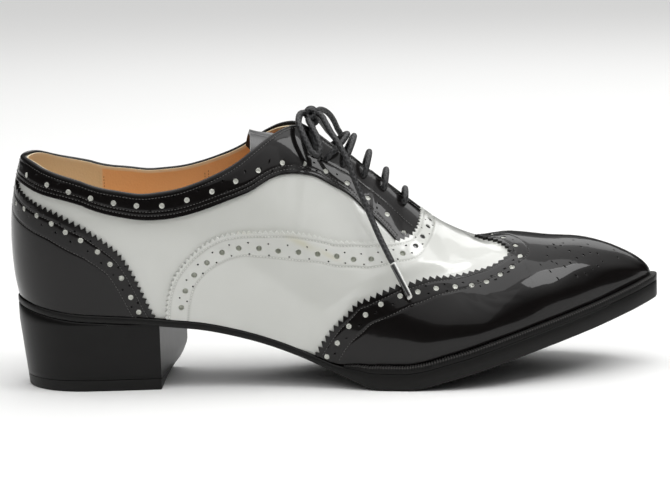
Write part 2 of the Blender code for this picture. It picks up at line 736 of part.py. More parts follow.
END_INNER = (
    (-0.0025, 0.0028, -0.0004), (-0.0040, 0.0054, -0.0012), (-0.0052, 0.0098, -0.0040), (-0.0053, 0.0150, -0.0090),
    (-0.0047, 0.0205, -0.0160), (-0.0034, 0.0252, -0.0240), (-0.0010, 0.0290, -0.0330), (0.0018, 0.0318, -0.0430),
    (0.0042, 0.0335, -0.0520),
)


def build_bow(centre, cotton, plastic):
    for name, route in {"lateral": LOOP_OUTER, "medial": LOOP_INNER}.items():
        points = along_curve([centre + Vector(p) for p in route], LOOP_SPACING)
        tube(f"lace_loop_{name}", points, LACE, cotton)
    for name, route in {"lateral": END_OUTER, "medial": END_INNER}.items():
        points = along_curve([centre + Vector(p) for p in route], CORD_SPACING)
        tube(f"lace_end_{name}", points, LACE, cotton)
        way = (points[-1] - points[-2]).normalized()
        start = points[-1] + way * GAP
        tube(f"aglet_{name}", [start, start + way * AGLET_LENGTH], AGLET, plastic)


def material(name, colour, roughness):
    shade = bpy.data.materials.new(name)
    shade.use_nodes = True
    surface = shade.node_tree.nodes["Principled BSDF"]
    surface.inputs["Base Color"].default_value = (*colour, 1.0)
    surface.inputs["Roughness"].default_value = roughness
    surface.inputs["Metallic"].default_value = 0.0
    return shade


for leftover in list(bpy.data.objects):
    bpy.data.objects.remove(leftover)

white_patent = material("white_patent", (0.60, 0.61, 0.58), 0.25)
black_patent = material("black_patent", (0.010, 0.010, 0.012), 0.18)
tan_leather = material("tan_leather", (0.50, 0.24, 0.10), 0.55)
black_rubber = material("black_rubber", (0.016, 0.016, 0.017), 0.6)
heel_leather = material("heel_leather", (0.018, 0.018, 0.019), 0.5)
black_cotton = material("black_cotton", (0.03, 0.03, 0.032), 0.85)
clear_plastic = material("clear_plastic", (0.10, 0.10, 0.10), 0.3)

build_outsole(black_rubber)
build_welt(heel_leather)
build_heel("heel_block", (TOP_PIECE + GAP, *HEEL_LEVELS, underside(FAN)), True, heel_leather)
build_heel("heel_top_piece", (0.0, TOP_PIECE), False, black_rubber)
build_insole(tan_leather)
build_upper(white_patent)
build_tongue(black_patent)
build_vamp(white_patent)
build_wing_tip(black_patent)
build_heel_counter(black_patent)
build_collar_band(black_patent)
build_facing("facing_lateral", OUTER, black_patent)
build_facing("facing_medial", INNER, black_patent)
build_bars(black_cotton)
knot_centre = build_knot(black_cotton)
build_bow(knot_centre, black_cotton, clear_plastic)


def stand_over_origin():
    """Moves the shoe so that the origin is below the middle of its box, the bow left out."""
    lows, highs = [], []
    for name in ("outsole", "heel_counter"):
        spots = [vertex.co for vertex in bpy.data.objects[name].data.vertices]
        lows.append([min(spot[axis] for spot in spots) for axis in range(2)])
        highs.append([max(spot[axis] for spot in spots) for axis in range(2)])
    shift = [-(min(low) + max(high)) / 2 for low, high in zip(zip(*lows), zip(*highs))]
    for piece in bpy.data.objects:
        piece.location = (*shift, 0.0)


stand_over_origin()
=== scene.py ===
"""The looks of a pointed two-tone brogue oxford in patent leather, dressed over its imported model.

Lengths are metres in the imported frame: +X to the toe, +Y to the inner side, +Z up. A place on the upper is a
side, a run in metres from the centre of the back, and a rise from 0 on the feather edge to 1 on the ridge.
"""

from math import cos, pi, radians, sin

import bmesh
import bpy
import numpy as np
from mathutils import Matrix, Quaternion, Vector


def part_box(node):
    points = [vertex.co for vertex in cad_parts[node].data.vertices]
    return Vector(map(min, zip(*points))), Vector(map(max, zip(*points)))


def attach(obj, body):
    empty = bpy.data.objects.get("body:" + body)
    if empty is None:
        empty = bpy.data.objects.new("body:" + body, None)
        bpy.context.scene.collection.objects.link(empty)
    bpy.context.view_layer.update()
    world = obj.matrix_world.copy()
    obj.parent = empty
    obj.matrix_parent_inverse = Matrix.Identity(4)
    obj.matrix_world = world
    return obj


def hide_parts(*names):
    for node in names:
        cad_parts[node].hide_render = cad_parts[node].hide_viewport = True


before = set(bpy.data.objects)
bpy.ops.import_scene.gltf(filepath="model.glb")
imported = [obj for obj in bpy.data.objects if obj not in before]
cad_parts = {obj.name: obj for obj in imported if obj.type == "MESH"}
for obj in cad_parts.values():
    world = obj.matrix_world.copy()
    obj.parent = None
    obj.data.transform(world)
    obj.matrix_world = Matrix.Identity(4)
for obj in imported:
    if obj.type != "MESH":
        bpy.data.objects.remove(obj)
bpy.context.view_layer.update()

# The camera
# The photograph was taken with a long lens from the shoe's outer side, a little above it, and is turned
# by about a degree and a half.
VIEW_DISTANCE = 1.2
VIEW_HEIGHT = radians(9.5)
VIEW_ROLL = radians(-1.6116)
VIEW_WIDTH = 0.28755
SENSOR = 36.0
looked_at = Vector((-0.00025, 0.00025, 0.0535))
backward = Vector((0, -cos(VIEW_HEIGHT), sin(VIEW_HEIGHT)))
camera = bpy.data.objects.new("camera", bpy.data.cameras.new("camera"))
camera.data.lens = SENSOR * VIEW_DISTANCE / VIEW_WIDTH
camera.data.sensor_width = SENSOR
camera.data.clip_start = 0.05
camera.data.clip_end = 30
camera.location = looked_at + backward * VIEW_DISTANCE
camera.rotation_mode = "QUATERNION"
camera.rotation_quaternion = (-backward).to_track_quat("-Z", "Y") @ Quaternion((0, 0, 1), VIEW_ROLL)
bpy.context.scene.collection.objects.link(camera)
bpy.context.scene.camera = camera
bpy.context.scene.view_settings.view_transform = "Standard"

# The floor and the light
# A pale paper floor that darkens well in front of the view, a sky that is dark at the horizon and bright
# overhead, and four soft boxes, so that patent leather shows a bright top, a black side and the floor's
# grey.
FLOOR_SIZE = 12.0
FLOOR_PALE_FROM = -0.34
FLOOR_DARK_BEYOND = -0.60
SKY_DARK_BELOW = 0.30
SKY_BRIGHT_ABOVE = 0.85


def linear(code):
    """The linear colour of an sRGB hex value such as #C8C9C2."""
    parts = np.array([int(code[i : i + 2], 16) for i in (1, 3, 5)]) / 255
    parts = np.where(parts <= 0.04045, parts / 12.92, ((parts + 0.055) / 1.055) ** 2.4)
    return (*map(float, parts), 1.0)


def add(tree, kind, numbers=(), sources=(), **settings):
    """Adds a node: settings are its properties, numbers go to its sockets and sources are linked to them."""
    made = tree.nodes.new(kind)
    for name, value in settings.items():
        setattr(made, name, value)
    for socket, value in dict(numbers).items():
        made.inputs[socket].default_value = value
    for socket, source in dict(sources).items():
        tree.links.new(source, made.inputs[socket])
    return made


def new_finish(name, numbers):
    """A material with its Principled BSDF set, as (material, node tree, shader)."""
    finish = bpy.data.materials.new(name)
    finish.use_nodes = True
    shader = finish.node_tree.nodes["Principled BSDF"]
    for socket, value in numbers.items():
        shader.inputs[socket].default_value = value
    return finish, finish.node_tree, shader


# Matt paper: it takes soft shadows and hardly mirrors.
paper, tree, shader = new_finish("floor_paper", {"Roughness": 0.8, "Specular IOR Level": 0.1})
place = add(tree, "ShaderNodeTexCoord")
parts = add(tree, "ShaderNodeSeparateXYZ", sources={"Vector": place.outputs["Object"]})
front = add(tree, "ShaderNodeMapRange", {"From Min": FLOOR_PALE_FROM, "From Max": FLOOR_DARK_BEYOND},
            {"Value": parts.outputs["Y"]})
shade = add(tree, "ShaderNodeMix", {6: linear("#F6F6F5"), 7: linear("#4A4A4A")}, {0: front.outputs["Result"]},
            data_type="RGBA")
tree.links.new(shade.outputs[2], shader.inputs["Base Color"])
floor_mesh = bpy.data.meshes.new("floor")
half = FLOOR_SIZE / 2
floor_corners = [(-half, -half, 0), (half, -half, 0), (half, half, 0), (-half, half, 0)]
floor_mesh.from_pydata(floor_corners, [], [(0, 1, 2, 3)])
floor_mesh.materials.append(paper)
floor = bpy.data.objects.new("floor", floor_mesh)
bpy.context.scene.collection.objects.link(floor)

world = bpy.data.worlds.new("studio")
bpy.context.scene.world = world
world.use_nodes = True
sky = world.node_tree
place = add(sky, "ShaderNodeTexCoord")
parts = add(sky, "ShaderNodeSeparateXYZ", sources={"Vector": place.outputs["Generated"]})
dome = add(sky, "ShaderNodeValToRGB", sources={"Fac": parts.outputs["Z"]})
dome.color_ramp.elements[0].color = (0.02, 0.02, 0.021, 1)
dome.color_ramp.elements[0].position = SKY_DARK_BELOW
dome.color_ramp.elements[1].color = (1.0, 1.0, 1.0, 1)
dome.color_ramp.elements[1].position = SKY_BRIGHT_ABOVE
sky.links.new(dome.outputs["Color"], sky.nodes["Background"].inputs["Color"])
sky.nodes["Background"].inputs["Strength"].default_value = 1.0

SOFT_BOXES = (
    # name, place, width, height, watts
    ("overhead", (0.05, 0.05, 1.35), 1.5, 1.0, 8.0),
    ("streak", (0.90, -0.42, 1.20), 0.55, 0.45, 4.5),
    ("fill", (-0.30, -1.60, 1.50), 2.8, 1.6, 6.5),
    ("behind", (0.35, 1.2, 0.9), 1.2, 0.6, 3.0),
)
for name, spot, width, height, watts in SOFT_BOXES:
    box = bpy.data.lights.new(name, "AREA")
    box.shape = "RECTANGLE"
    box.size = width
    box.size_y = height
    box.energy = watts
    lamp = bpy.data.objects.new(name, box)
    lamp.location = spot
    lamp.rotation_euler = (Vector((0, 0, 0.05)) - Vector(spot)).to_track_quat("-Z", "Y").to_euler()
    bpy.context.scene.collection.objects.link(lamp)

# The last
# Every piece of the upper is drawn over a last, the form the shoe was made on. It is a row of
# cross-sections, each a cubic curve from the feather edge up to the ridge, with the same sizes and shares
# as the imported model.
OUTER, INNER = SIDES = -1, 1
SOLE_LENGTH = 0.278
BALL_WIDTH = 0.088
INSTEP_HEIGHT = 0.0935
HEEL_RISE = 0.0300
TOE_SPRING = 0.0290
SEAT_PLATE = 0.0030
FORE_PLATE = 0.0073
WELT = 0.0030
GAP = 0.0003
TIP_SHARE = 0.9838
FAN_SHARE = 0.1223
FAN_REACH = (0.105, 0.1306, 0.1025, 0.0)
LAST_LENGTH = TIP_SHARE * SOLE_LENGTH
FAN = FAN_SHARE * SOLE_LENGTH
MIDDLE = SOLE_LENGTH / 2
# Height of the underside over the floor, as (share of the sole's length, share of HEEL_RISE).
ARCH = np.array((
    (0.00, 1.220), (0.06, 1.080), (0.10, 1.020), (0.15, 0.980), (0.20, 0.945), (0.25, 0.890), (0.30, 0.830),
    (0.35, 0.727), (0.40, 0.593), (0.45, 0.420), (0.50, 0.213), (0.53, 0.095), (0.555, 0.010), (0.565, 0.0),
    (1.00, 0.0),
))
# The same under the toe, as a share of TOE_SPRING, and how far the sole has grown to its forefoot
# thickness.
SPRING = np.array((
    (0.00, 0.0), (0.605, 0.0), (0.63, 0.040), (0.66, 0.115), (0.70, 0.215), (0.75, 0.352), (0.80, 0.480),
    (0.85, 0.600), (0.90, 0.720), (0.95, 0.855), (1.00, 1.0),
))
FORE = np.array(((0.00, 0.0), (0.465, 0.0), (0.50, 0.145), (0.53, 0.64), (0.56, 1.0), (1.00, 1.0)))
SECTIONS = np.array((
    # run, feather_out, feather_in, wall_out, wall_in, wall_up, crown, lean, ridge
    (0.1223, 0.2875, 0.2840, 0.3466, 0.3466, 0.34, 0.3864, 0.000, 0.9626),
    (0.1978, 0.2875, 0.2660, 0.3523, 0.3523, 0.34, 0.3864, 0.000, 0.9626),
    (0.2878, 0.2739, 0.2160, 0.3580, 0.3580, 0.34, 0.3523, 0.006, 0.9733),
    (0.3777, 0.2841, 0.1966, 0.3693, 0.3523, 0.35, 0.2955, 0.011, 0.9893),
    (0.4424, 0.3182, 0.2330, 0.3864, 0.3580, 0.36, 0.2330, 0.017, 1.0000),
    (0.5036, 0.3659, 0.3011, 0.4205, 0.3807, 0.37, 0.2159, 0.023, 0.9326),
    (0.5576, 0.4091, 0.3636, 0.4602, 0.4205, 0.38, 0.2273, 0.028, 0.8128),
    (0.6115, 0.4432, 0.4148, 0.4943, 0.4659, 0.37, 0.2557, 0.034, 0.6791),
    (0.6655, 0.4545, 0.4432, 0.5057, 0.4943, 0.36, 0.2955, 0.045, 0.5187),
    (0.7194, 0.4386, 0.4466, 0.4830, 0.4886, 0.38, 0.3068, 0.051, 0.4064),
    (0.7734, 0.3864, 0.4205, 0.4261, 0.4602, 0.42, 0.2955, 0.057, 0.3668),
    (0.8273, 0.3068, 0.3705, 0.3409, 0.4045, 0.46, 0.2557, 0.060, 0.3080),
    (0.8813, 0.2080, 0.2989, 0.2330, 0.3239, 0.50, 0.1932, 0.0625, 0.2545),
    (0.9209, 0.1227, 0.2341, 0.1409, 0.2523, 0.52, 0.1364, 0.0625, 0.1925),
    (0.9496, 0.0568, 0.1795, 0.0705, 0.1932, 0.55, 0.0909, 0.0625, 0.1305),
    (0.9712, -0.0057, 0.1307, 0.0034, 0.1409, 0.60, 0.0534, 0.0625, 0.0706),
    (0.9838, -0.0625, 0.0625, -0.0625, 0.0625, 0.60, 0.0000, 0.0625, 0.0000),
))


def through(xs, ys, x, flat_end=False):
    """A smooth curve through points: cubics whose slope at a point is the mean of the two beside it."""
    steps = np.diff(xs)
    slopes = np.diff(ys) / steps
    inner = (slopes[:-1] * steps[1:] + slopes[1:] * steps[:-1]) / (steps[:-1] + steps[1:])
    bends = np.concatenate(([slopes[0]], inner, [0.0 if flat_end else slopes[-1]]))
    x = np.clip(x, xs[0], xs[-1])
    i = np.clip(np.searchsorted(xs, x, side="right") - 1, 0, len(steps) - 1)
    u = (x - xs[i]) / steps[i]
    value = (2 * u**3 - 3 * u**2 + 1) * ys[i] + (3 * u**2 - 2 * u**3) * ys[i + 1]
    return value + (u**3 - 2 * u**2 + u) * steps[i] * bends[i] + (u**3 - u**2) * steps[i] * bends[i + 1]


def underside(along):
    """Height of the walking face at a distance from the heel's back: the arch and then the toe spring."""
    share = along / SOLE_LENGTH
    arch = np.where(share < ARCH[-2, 0], through(*ARCH.T, share), 0.0)
    spring = np.where(share > SPRING[1, 0], through(*SPRING.T, share), 0.0)
    return HEEL_RISE * np.maximum(arch, 0.0) + TOE_SPRING * np.maximum(spring, 0.0)


def fore(along):
    return np.clip(through(*FORE.T, along / SOLE_LENGTH), 0.0, 1.0)


def plate_top(along):
    return underside(along) + SEAT_PLATE + (FORE_PLATE - SEAT_PLATE) * fore(along)


def feather(along):
    return plate_top(along) + GAP + WELT * fore(along)


def tipward(run):
    """Distance from the tip, even round the toe: the root of the share of the last that is left."""
    return np.sqrt(np.maximum(0.0, 1.0 - run / LAST_LENGTH))


TIP_SCALE = tipward(SECTIONS[::-1, 0] * SOLE_LENGTH)
TIP_SECTIONS = SECTIONS[::-1]


def last(side, run, rise):
    """A cubic Bezier up the section at this run, by rise. Behind the fan's axis it turns about it."""
    run, rise = np.broadcast_arrays(np.asarray(run, float), np.asarray(rise, float))
    along = np.clip(run, FAN, LAST_LENGTH)
    toe = tipward(along)
    columns = (1, 3, 5, 6, 7, 8) if side == OUTER else (2, 4, 5, 6, 7, 8)
    foot, wall, up, crown, lean, ridge = (through(TIP_SCALE, TIP_SECTIONS[:, k], toe, True) for k in columns)
    low = feather(along)
    top = low + ridge * INSTEP_HEIGHT
    turn = np.clip(1.0 - run / FAN, 0.0, 1.0) * pi / 2
    x = [along - reach * SOLE_LENGTH * np.sin(turn) for reach in FAN_REACH]
    y = [part * BALL_WIDTH * np.cos(turn) for part in (side * foot, side * wall, lean + side * crown, lean)]
    seat = feather(x[0])
    z = [seat, low + up * (top - low) + seat - low, top, top]
    fall = 1.0 - rise
    shares = (fall**3, 3 * fall**2 * rise, 3 * fall * rise**2, rise**3)
    return np.stack([sum(share * part for share, part in zip(shares, axis)) for axis in (x, y, z)], -1)


def unit(vectors):
    """Vectors scaled to length one along their last axis."""
    return vectors / np.linalg.norm(vectors, axis=-1, keepdims=True)


def outward(side, run, rise):
    """The unit normal of the last: the cross product of its slopes along the run and up the rise."""
    run, rise = np.broadcast_arrays(np.asarray(run, float), np.asarray(rise, float))
    step = np.clip((LAST_LENGTH - run) * 0.3, 1e-6, 0.0004)
    along = last(side, run + step, rise) - last(side, np.where(run > step, run - step, run), rise)
    up = last(side, run, np.minimum(rise + 0.004, 1.0)) - last(side, run, np.maximum(rise - 0.004, 0.0))
    normal = np.cross(along, up) * -side
    ridge = ((rise > 0.9999) & (run >= FAN))[..., None]
    normal = np.where(ridge, np.stack([-along[..., 2], 0 * run, along[..., 0]], -1), normal)
    normal[..., 1] = np.where(run < 0.0002, 0.0, normal[..., 1])
    normal[..., 2] = np.where(rise == 0.0, 0.0, normal[..., 2])
    normal = np.where((run > LAST_LENGTH * 0.9995)[..., None], (1.0, 0.0, 0.0), normal)
    return unit(normal)


tip = last(OUTER, LAST_LENGTH, 0.0)
inner_half = last(INNER, np.linspace(FAN, LAST_LENGTH, 300)[:, None], np.linspace(0, 1, 60)[None, :])
SHIFT = np.array((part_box("upper")[1].x - tip[0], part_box("upper")[1].y - inner_half[..., 1].max(), 0.0))


def skin(side, run, rise, out):
    """A point at a distance out from the last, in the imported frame, never below the feather edge."""
    run, rise = np.clip(run, 0.0, LAST_LENGTH), np.clip(rise, 0.0, 1.0)
    normal = outward(side, run, rise)
    point = last(side, run, rise) + normal * np.asarray(out)[..., None]
    low = feather(point[..., 0])
    point[..., 2] = np.where(np.asarray(rise) == 0.0, low, np.maximum(point[..., 2], low))
    return point + SHIFT


def weld(points, faces, fields):
    """Joins points that coincide to a hundredth of a millimetre, and drops what a face loses by it."""
    _, first, index = np.unique(np.round(points * 1e5), axis=0, return_index=True, return_inverse=True)
    index = index.reshape(-1)
    kept = []
    for face in faces:
        corners = list(dict.fromkeys(index[list(face)].tolist()))
        if len(corners) > 2:
            kept.append(corners)
    return points[first], kept, {name: values[first] for name, values in fields.items()}


def new_piece(name, points, faces, finish, fields=None, recalculate=True, sharp=50):
    """A smooth mesh from points (n, 3) and faces, with a number for each point in every field."""
    points, faces, fields = weld(np.asarray(points), faces, fields or {})
    mesh = bpy.data.meshes.new(name)
    mesh.from_pydata(points.tolist(), [], faces)
    for field, values in fields.items():
        layer = mesh.attributes.new(field, "FLOAT", "POINT")
        layer.data.foreach_set("value", np.asarray(values, np.float32))
    if recalculate:
        shape = bmesh.new()
        shape.from_mesh(mesh)
        bmesh.ops.recalc_face_normals(shape, faces=shape.faces)
        shape.to_mesh(mesh)
        shape.free()
    mesh.materials.append(finish)
    mesh.shade_smooth()
    if sharp:
        mesh.set_sharp_from_angle(angle=radians(sharp))
    piece = bpy.data.objects.new(name, mesh)
    bpy.context.scene.collection.objects.link(piece)
    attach(piece, "root")
    return piece


def grid(rows, columns, start=0, round_rows=False, round_columns=False):
    """The quads of a grid of points laid row by row, closed on itself where asked."""
    i = np.arange(rows if round_rows else rows - 1)
    j = np.arange(columns if round_columns else columns - 1)
    i, j = (part.ravel() for part in np.meshgrid(i, j, indexing="ij"))
    i2, j2 = (i + 1) % rows, (j + 1) % columns
    corners = (i * columns + j, i * columns + j2, i2 * columns + j2, i2 * columns + j)
    return (start + np.stack(corners, 1)).tolist()


# The outsole
# A black rubber sole cut with a bevelled edge: thin in the waist, thick under the forefoot, with a matte
# walking face. It is a row of flat cross-sections, from the outer rim to the inner one.
MM = 0.001
SEAT_LEDGE = 0.0020
WELT_LEDGE = 0.0045
BEVEL = 0.0006


def ledge(along):
    """How far the sole stands out past the feather edge."""
    return SEAT_LEDGE + (WELT_LEDGE - SEAT_LEDGE) * fore(along)


def sole_line(side, run, out):
    """The feather edge seen from above and moved out by a distance, in the last's own frame."""
    return last(side, run, 0.0) + outward(side, run, 0.0) * np.asarray(out)[..., None]


def even_runs(start, stop, count):
    """Runs from start to stop, close together round the toe, where they are even on the scale of tipward."""
    scale = np.linspace(tipward(start), tipward(stop), count)
    blend = np.linspace(start, stop, count)
    by_scale = LAST_LENGTH * (1.0 - scale**2)
    near_toe = np.linspace(0, 1, count) ** 2
    return blend * (1 - near_toe) + by_scale * near_toe


def tube(rows, columns):
    """The quads of a tube of rings laid one by one, with a flat face over each end."""
    faces = grid(rows, columns, round_columns=True)
    return faces + [list(range(columns))[::-1], list(range((rows - 1) * columns, rows * columns))]


def plate(name, out, top, bottom, bevel, finish, start=0.0, count=170, across=14):
    """A flat solid between two heights: cross-sections along the run, each a loop with bevelled rims."""
    runs = even_runs(start, LAST_LENGTH, count)
    spread = out(last(OUTER, runs, 0.0)[:, 0])
    steps = ((bevel, 0.0), (bevel * 0.3, bevel * 0.3), (0.0, bevel))
    columns = []
    for side, order in ((OUTER, steps), (INNER, steps[::-1])):
        for inset, drop in order:
            columns.append((sole_line(side, runs, spread - inset), top, -drop))
        for inset, drop in order[::-1]:
            columns.append((sole_line(side, runs, spread - inset), bottom, drop))
    outer_top, outer_bottom, inner_top, inner_bottom = columns[0:3], columns[3:6], columns[6:9], columns[9:12]
    loop = outer_bottom[::-1] + outer_top[::-1]
    shares = np.linspace(0, 1, across)[1:-1]
    start_line, stop_line = outer_top[0][0], inner_top[-1][0]
    loop += [(start_line * (1 - share) + stop_line * share, top, 0.0) for share in shares]
    loop += inner_top[::-1] + inner_bottom[::-1]
    loop += [(stop_line * (1 - share) + start_line * share, bottom, 0.0) for share in shares]
    points = []
    for line, level, lift in loop:
        points.append(np.stack([line[:, 0], line[:, 1], level(line[:, 0]) + lift], -1))
    points = np.stack(points, 1)
    return new_piece(name, points.reshape(-1, 3) + SHIFT, tube(count, len(loop)), finish)


# Moulded black rubber: a dull sheen over a fine grit, which is drawn about a millimetre wide so that it
# shows.
rubber, tree, shader = new_finish("sole_rubber", {"Roughness": 0.45, "Specular IOR Level": 0.25})
place = add(tree, "ShaderNodeTexCoord")
grit = add(tree, "ShaderNodeTexNoise", {"Scale": 900.0, "Detail": 3.0}, {"Vector": place.outputs["Object"]})
cloud = add(tree, "ShaderNodeTexNoise", {"Scale": 60.0, "Detail": 4.0}, {"Vector": place.outputs["Object"]})
shade = add(tree, "ShaderNodeMix", {6: linear("#080807"), 7: linear("#121110")}, {0: cloud.outputs["Fac"]},
            data_type="RGBA")
bump = add(tree, "ShaderNodeBump", {"Strength": 0.25, "Distance": 0.2 * MM}, {"Height": grit.outputs["Fac"]})
tree.links.new(shade.outputs[2], shader.inputs["Base Color"])
tree.links.new(bump.outputs["Normal"], shader.inputs["Normal"])

sole = plate("sole", ledge, plate_top, underside, BEVEL, rubber)
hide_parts("outsole")

# The welt
# A black leather strip between sole and upper, from the waist round the toe, its top wheeled into fine
# ribs that stand across it.
WELT_START = 0.512 * SOLE_LENGTH
RIB_PITCH = 1.15 * MM

# Sole leather under black edge dressing: a low waxy sheen. Its rib crests are painted grey, as rubbed wear
# and as a painted highlight.
matte_leather, tree, shader = new_finish("edge_leather", {"Roughness": 0.33, "Specular IOR Level": 0.22})
place = add(tree, "ShaderNodeTexCoord")
cloud = add(tree, "ShaderNodeTexNoise", {"Scale": 140.0, "Detail": 4.0}, {"Vector": place.outputs["Object"]})
shade = add(tree, "ShaderNodeMix", {6: linear("#060505"), 7: linear("#0E0D0C")}, {0: cloud.outputs["Fac"]},
            data_type="RGBA")
# The crest field paints the ribs' tops grey: rubbed wear and painted highlight.
crest = add(tree, "ShaderNodeAttribute", attribute_name="crest")
rubbed_and_highlit = add(tree, "ShaderNodeMix", {7: linear("#3C3B3A")}, {0: crest.outputs["Fac"], 6: shade.outputs[2]},
             data_type="RGBA")
bump = add(tree, "ShaderNodeBump", {"Strength": 0.3, "Distance": 0.2 * MM}, {"Height": cloud.outputs["Fac"]})
tree.links.new(rubbed_and_highlit.outputs[2], shader.inputs["Base Color"])
tree.links.new(bump.outputs["Normal"], shader.inputs["Normal"])


def distances(points):
    """Distance along a row of points from its start: the running sum of its steps."""
    return np.concatenate([[0.0], np.cumsum(np.linalg.norm(np.diff(points, axis=0), axis=1))])


def read(line, lengths, at):
    """A line's columns between its points, at distances along it: straight from point to point."""
    return np.stack([np.interp(at, lengths, part) for part in line.T], -1)


def welt_strip():
    """A closed profile carried round the forefoot. Its rim falls in and down in grooves at even distances."""
    half_runs = even_runs(WELT_START, LAST_LENGTH, 400)
    profile = (
        # inset from the edge, height as a share of the welt's, depth of the grooves in and down (mm)
        (0.0, 0.02, 0.0, 0.0),
        (0.0, 0.60, 0.0, 0.0),
        (0.0, 0.80, 0.3, 0.0),
        (0.3, 0.95, 0.45, 0.4),
        (0.9, 1.0, 0.0, 0.55),
        (2.2, 1.0, 0.0, 0.55),
        (3.4, 1.0, 0.0, 0.45),
        (4.2, 1.0, 0.0, 0.0),
        (10.0, 1.0, 0.0, 0.0),
        (10.0, 0.02, 0.0, 0.0),
    )
    edges = []
    for side in SIDES:
        out = ledge(last(side, half_runs, 0.0)[:, 0])
        edges.append((sole_line(side, half_runs, out), outward(side, half_runs, 0.0)))
    line = np.concatenate([edges[0][0], edges[1][0][-2::-1]])
    normal = np.concatenate([edges[0][1], edges[1][1][-2::-1]])
    lengths = distances(line[:, :2])
    ribs = int(lengths[-1] / RIB_PITCH)
    even = np.linspace(0, lengths[-1], ribs * 6 + 1)
    line = read(line[:, :2], lengths, even)
    normal = unit(read(normal[:, :2], lengths, even))
    groove = (0.5 - 0.5 * np.cos(2 * pi * even / lengths[-1] * ribs)) ** 1.5
    rings, crest = [], []
    for inset, height, into, down in profile:
        spot = line - normal * ((inset + into * groove) * MM)[:, None]
        base = plate_top(spot[:, 0])
        top = base + GAP * 0.2 + (feather(spot[:, 0]) - GAP - base) * height
        rings.append(np.column_stack([spot, top - down * MM * groove]))
        # The ribs' tops, painted lighter by the finish: rubbed wear and painted highlight.
        crest.append((1.0 - groove) * (height > 0.7) * (inset < 4.0))
    points = np.stack(rings, 1)
    rows, size = points.shape[:2]
    faces = grid(rows, size, round_columns=True)
    faces.append(list(range(size)))
    faces.append(list(range((rows - 1) * size, rows * size))[::-1])
    return points.reshape(-1, 3) + SHIFT, faces, {"crest": np.stack(crest, 1).ravel()}


welt_points, welt_faces, welt_fields = welt_strip()
welt = new_piece("ribbed_welt", welt_points, welt_faces, matte_leather, welt_fields)
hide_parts("welt")

# The heel
# A low block, black and lightly polished, over a rubber top piece. It is narrower to the floor, and its
# breast is cut aslant, with the inner corner set forward.
HEEL_LENGTH = 0.0605
HEEL_SKEW = 0.0090
HEEL_SKEW_RISE = 0.4
HEEL_TAPER = 0.05
HEEL_BACK_TAPER = 0.11
TOP_PIECE = 0.0046
BEND_STEPS = 26


def heel_line(height, inset):
    """The heel's outline at a height, as one closed loop: back, outer side, breast and inner side."""
    share = min(max(height / float(underside(np.array(FAN))), 0.0), 1.0)
    breast = HEEL_LENGTH + SEAT_LEDGE * 2
    skew = HEEL_SKEW * min(1.0, share / HEEL_SKEW_RISE) ** 0.5
    halves = []
    for side in SIDES:
        stop = breast + (skew if side == INNER else 0.0) - inset
        turn_runs = FAN * np.linspace(0, 1, BEND_STEPS)
        straight_runs = np.linspace(FAN, stop, 12)[1:]
        runs = np.concatenate([turn_runs, straight_runs])
        line = sole_line(side, runs, ledge(last(side, runs, 0.0)[:, 0]) - inset)
        line[:BEND_STEPS, 0] = FAN - (FAN - line[:BEND_STEPS, 0]) * (1.0 - HEEL_BACK_TAPER * (1.0 - share))
        line[BEND_STEPS:, 0] = straight_runs
        line[:, 1] *= 1.0 - HEEL_TAPER * (1.0 - share)
        halves.append(line[:, :2])
    cut = np.linspace(0, 1, 14)[1:-1, None]
    across = halves[0][-1] * (1 - cut) + halves[1][-1] * cut
    return np.concatenate([halves[0], across, halves[1][:0:-1]])


def heel_solid(name, levels, follows, finish):
    """Outlines at rising heights, with the rims turned in. The topmost may follow the sole."""
    rings = []
    for number, (height, inset, lift) in enumerate(levels):
        line = heel_line(height, inset)
        top = follows and height == levels[-1][0]
        z = underside(line[:, 0]) - GAP + lift if top else np.full(len(line), height + lift)
        rings.append(np.column_stack([line, z]))
    points = np.stack(rings)
    count = points.shape[1]
    faces = grid(len(rings), count, round_columns=True)
    for row, turned in ((0, False), (len(rings) - 1, True)):
        first, second = row * count, row * count + count - 1
        caps = [(first, first + 1, second)]
        first += 1
        while second - first > 1:
            caps.append((first, first + 1, second - 1, second))
            first, second = first + 1, second - 1
        faces += [cap[::-1] if turned else cap for cap in caps]
    return new_piece(name, points.reshape(-1, 3) + SHIFT, faces, finish)


seat = float(underside(np.array(FAN)))
block_levels = [(TOP_PIECE + GAP, 0.15 * MM, 0.0), (TOP_PIECE + GAP + 0.12 * MM, 0.0, 0.0)]
block_levels += [(height, 0.0, 0.0) for height in np.linspace(0.007, seat - 0.0015, 12)]
block_levels += [(seat, 0.05 * MM, -0.5 * MM), (seat, 0.4 * MM, 0.0)]
heel = heel_solid("stacked_heel", block_levels, True, matte_leather)
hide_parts("heel_block")
piece_levels = [(0.0, 0.4 * MM, 0.0), (0.4 * MM, 0.0, 0.0)]
piece_levels += [(TOP_PIECE + 0.1 * MM, 0.0, 0.0), (TOP_PIECE + 0.2 * MM, 0.15 * MM, 0.0)]
lift_piece = heel_solid("heel_lift", piece_levels, False, rubber)
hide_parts("heel_top_piece")

# The insole
# A board glued in over the feather edge and covered with tan leather, whose fine natural grain is seen through
# the collar.
WALL = 0.0016
INSOLE = 0.0022
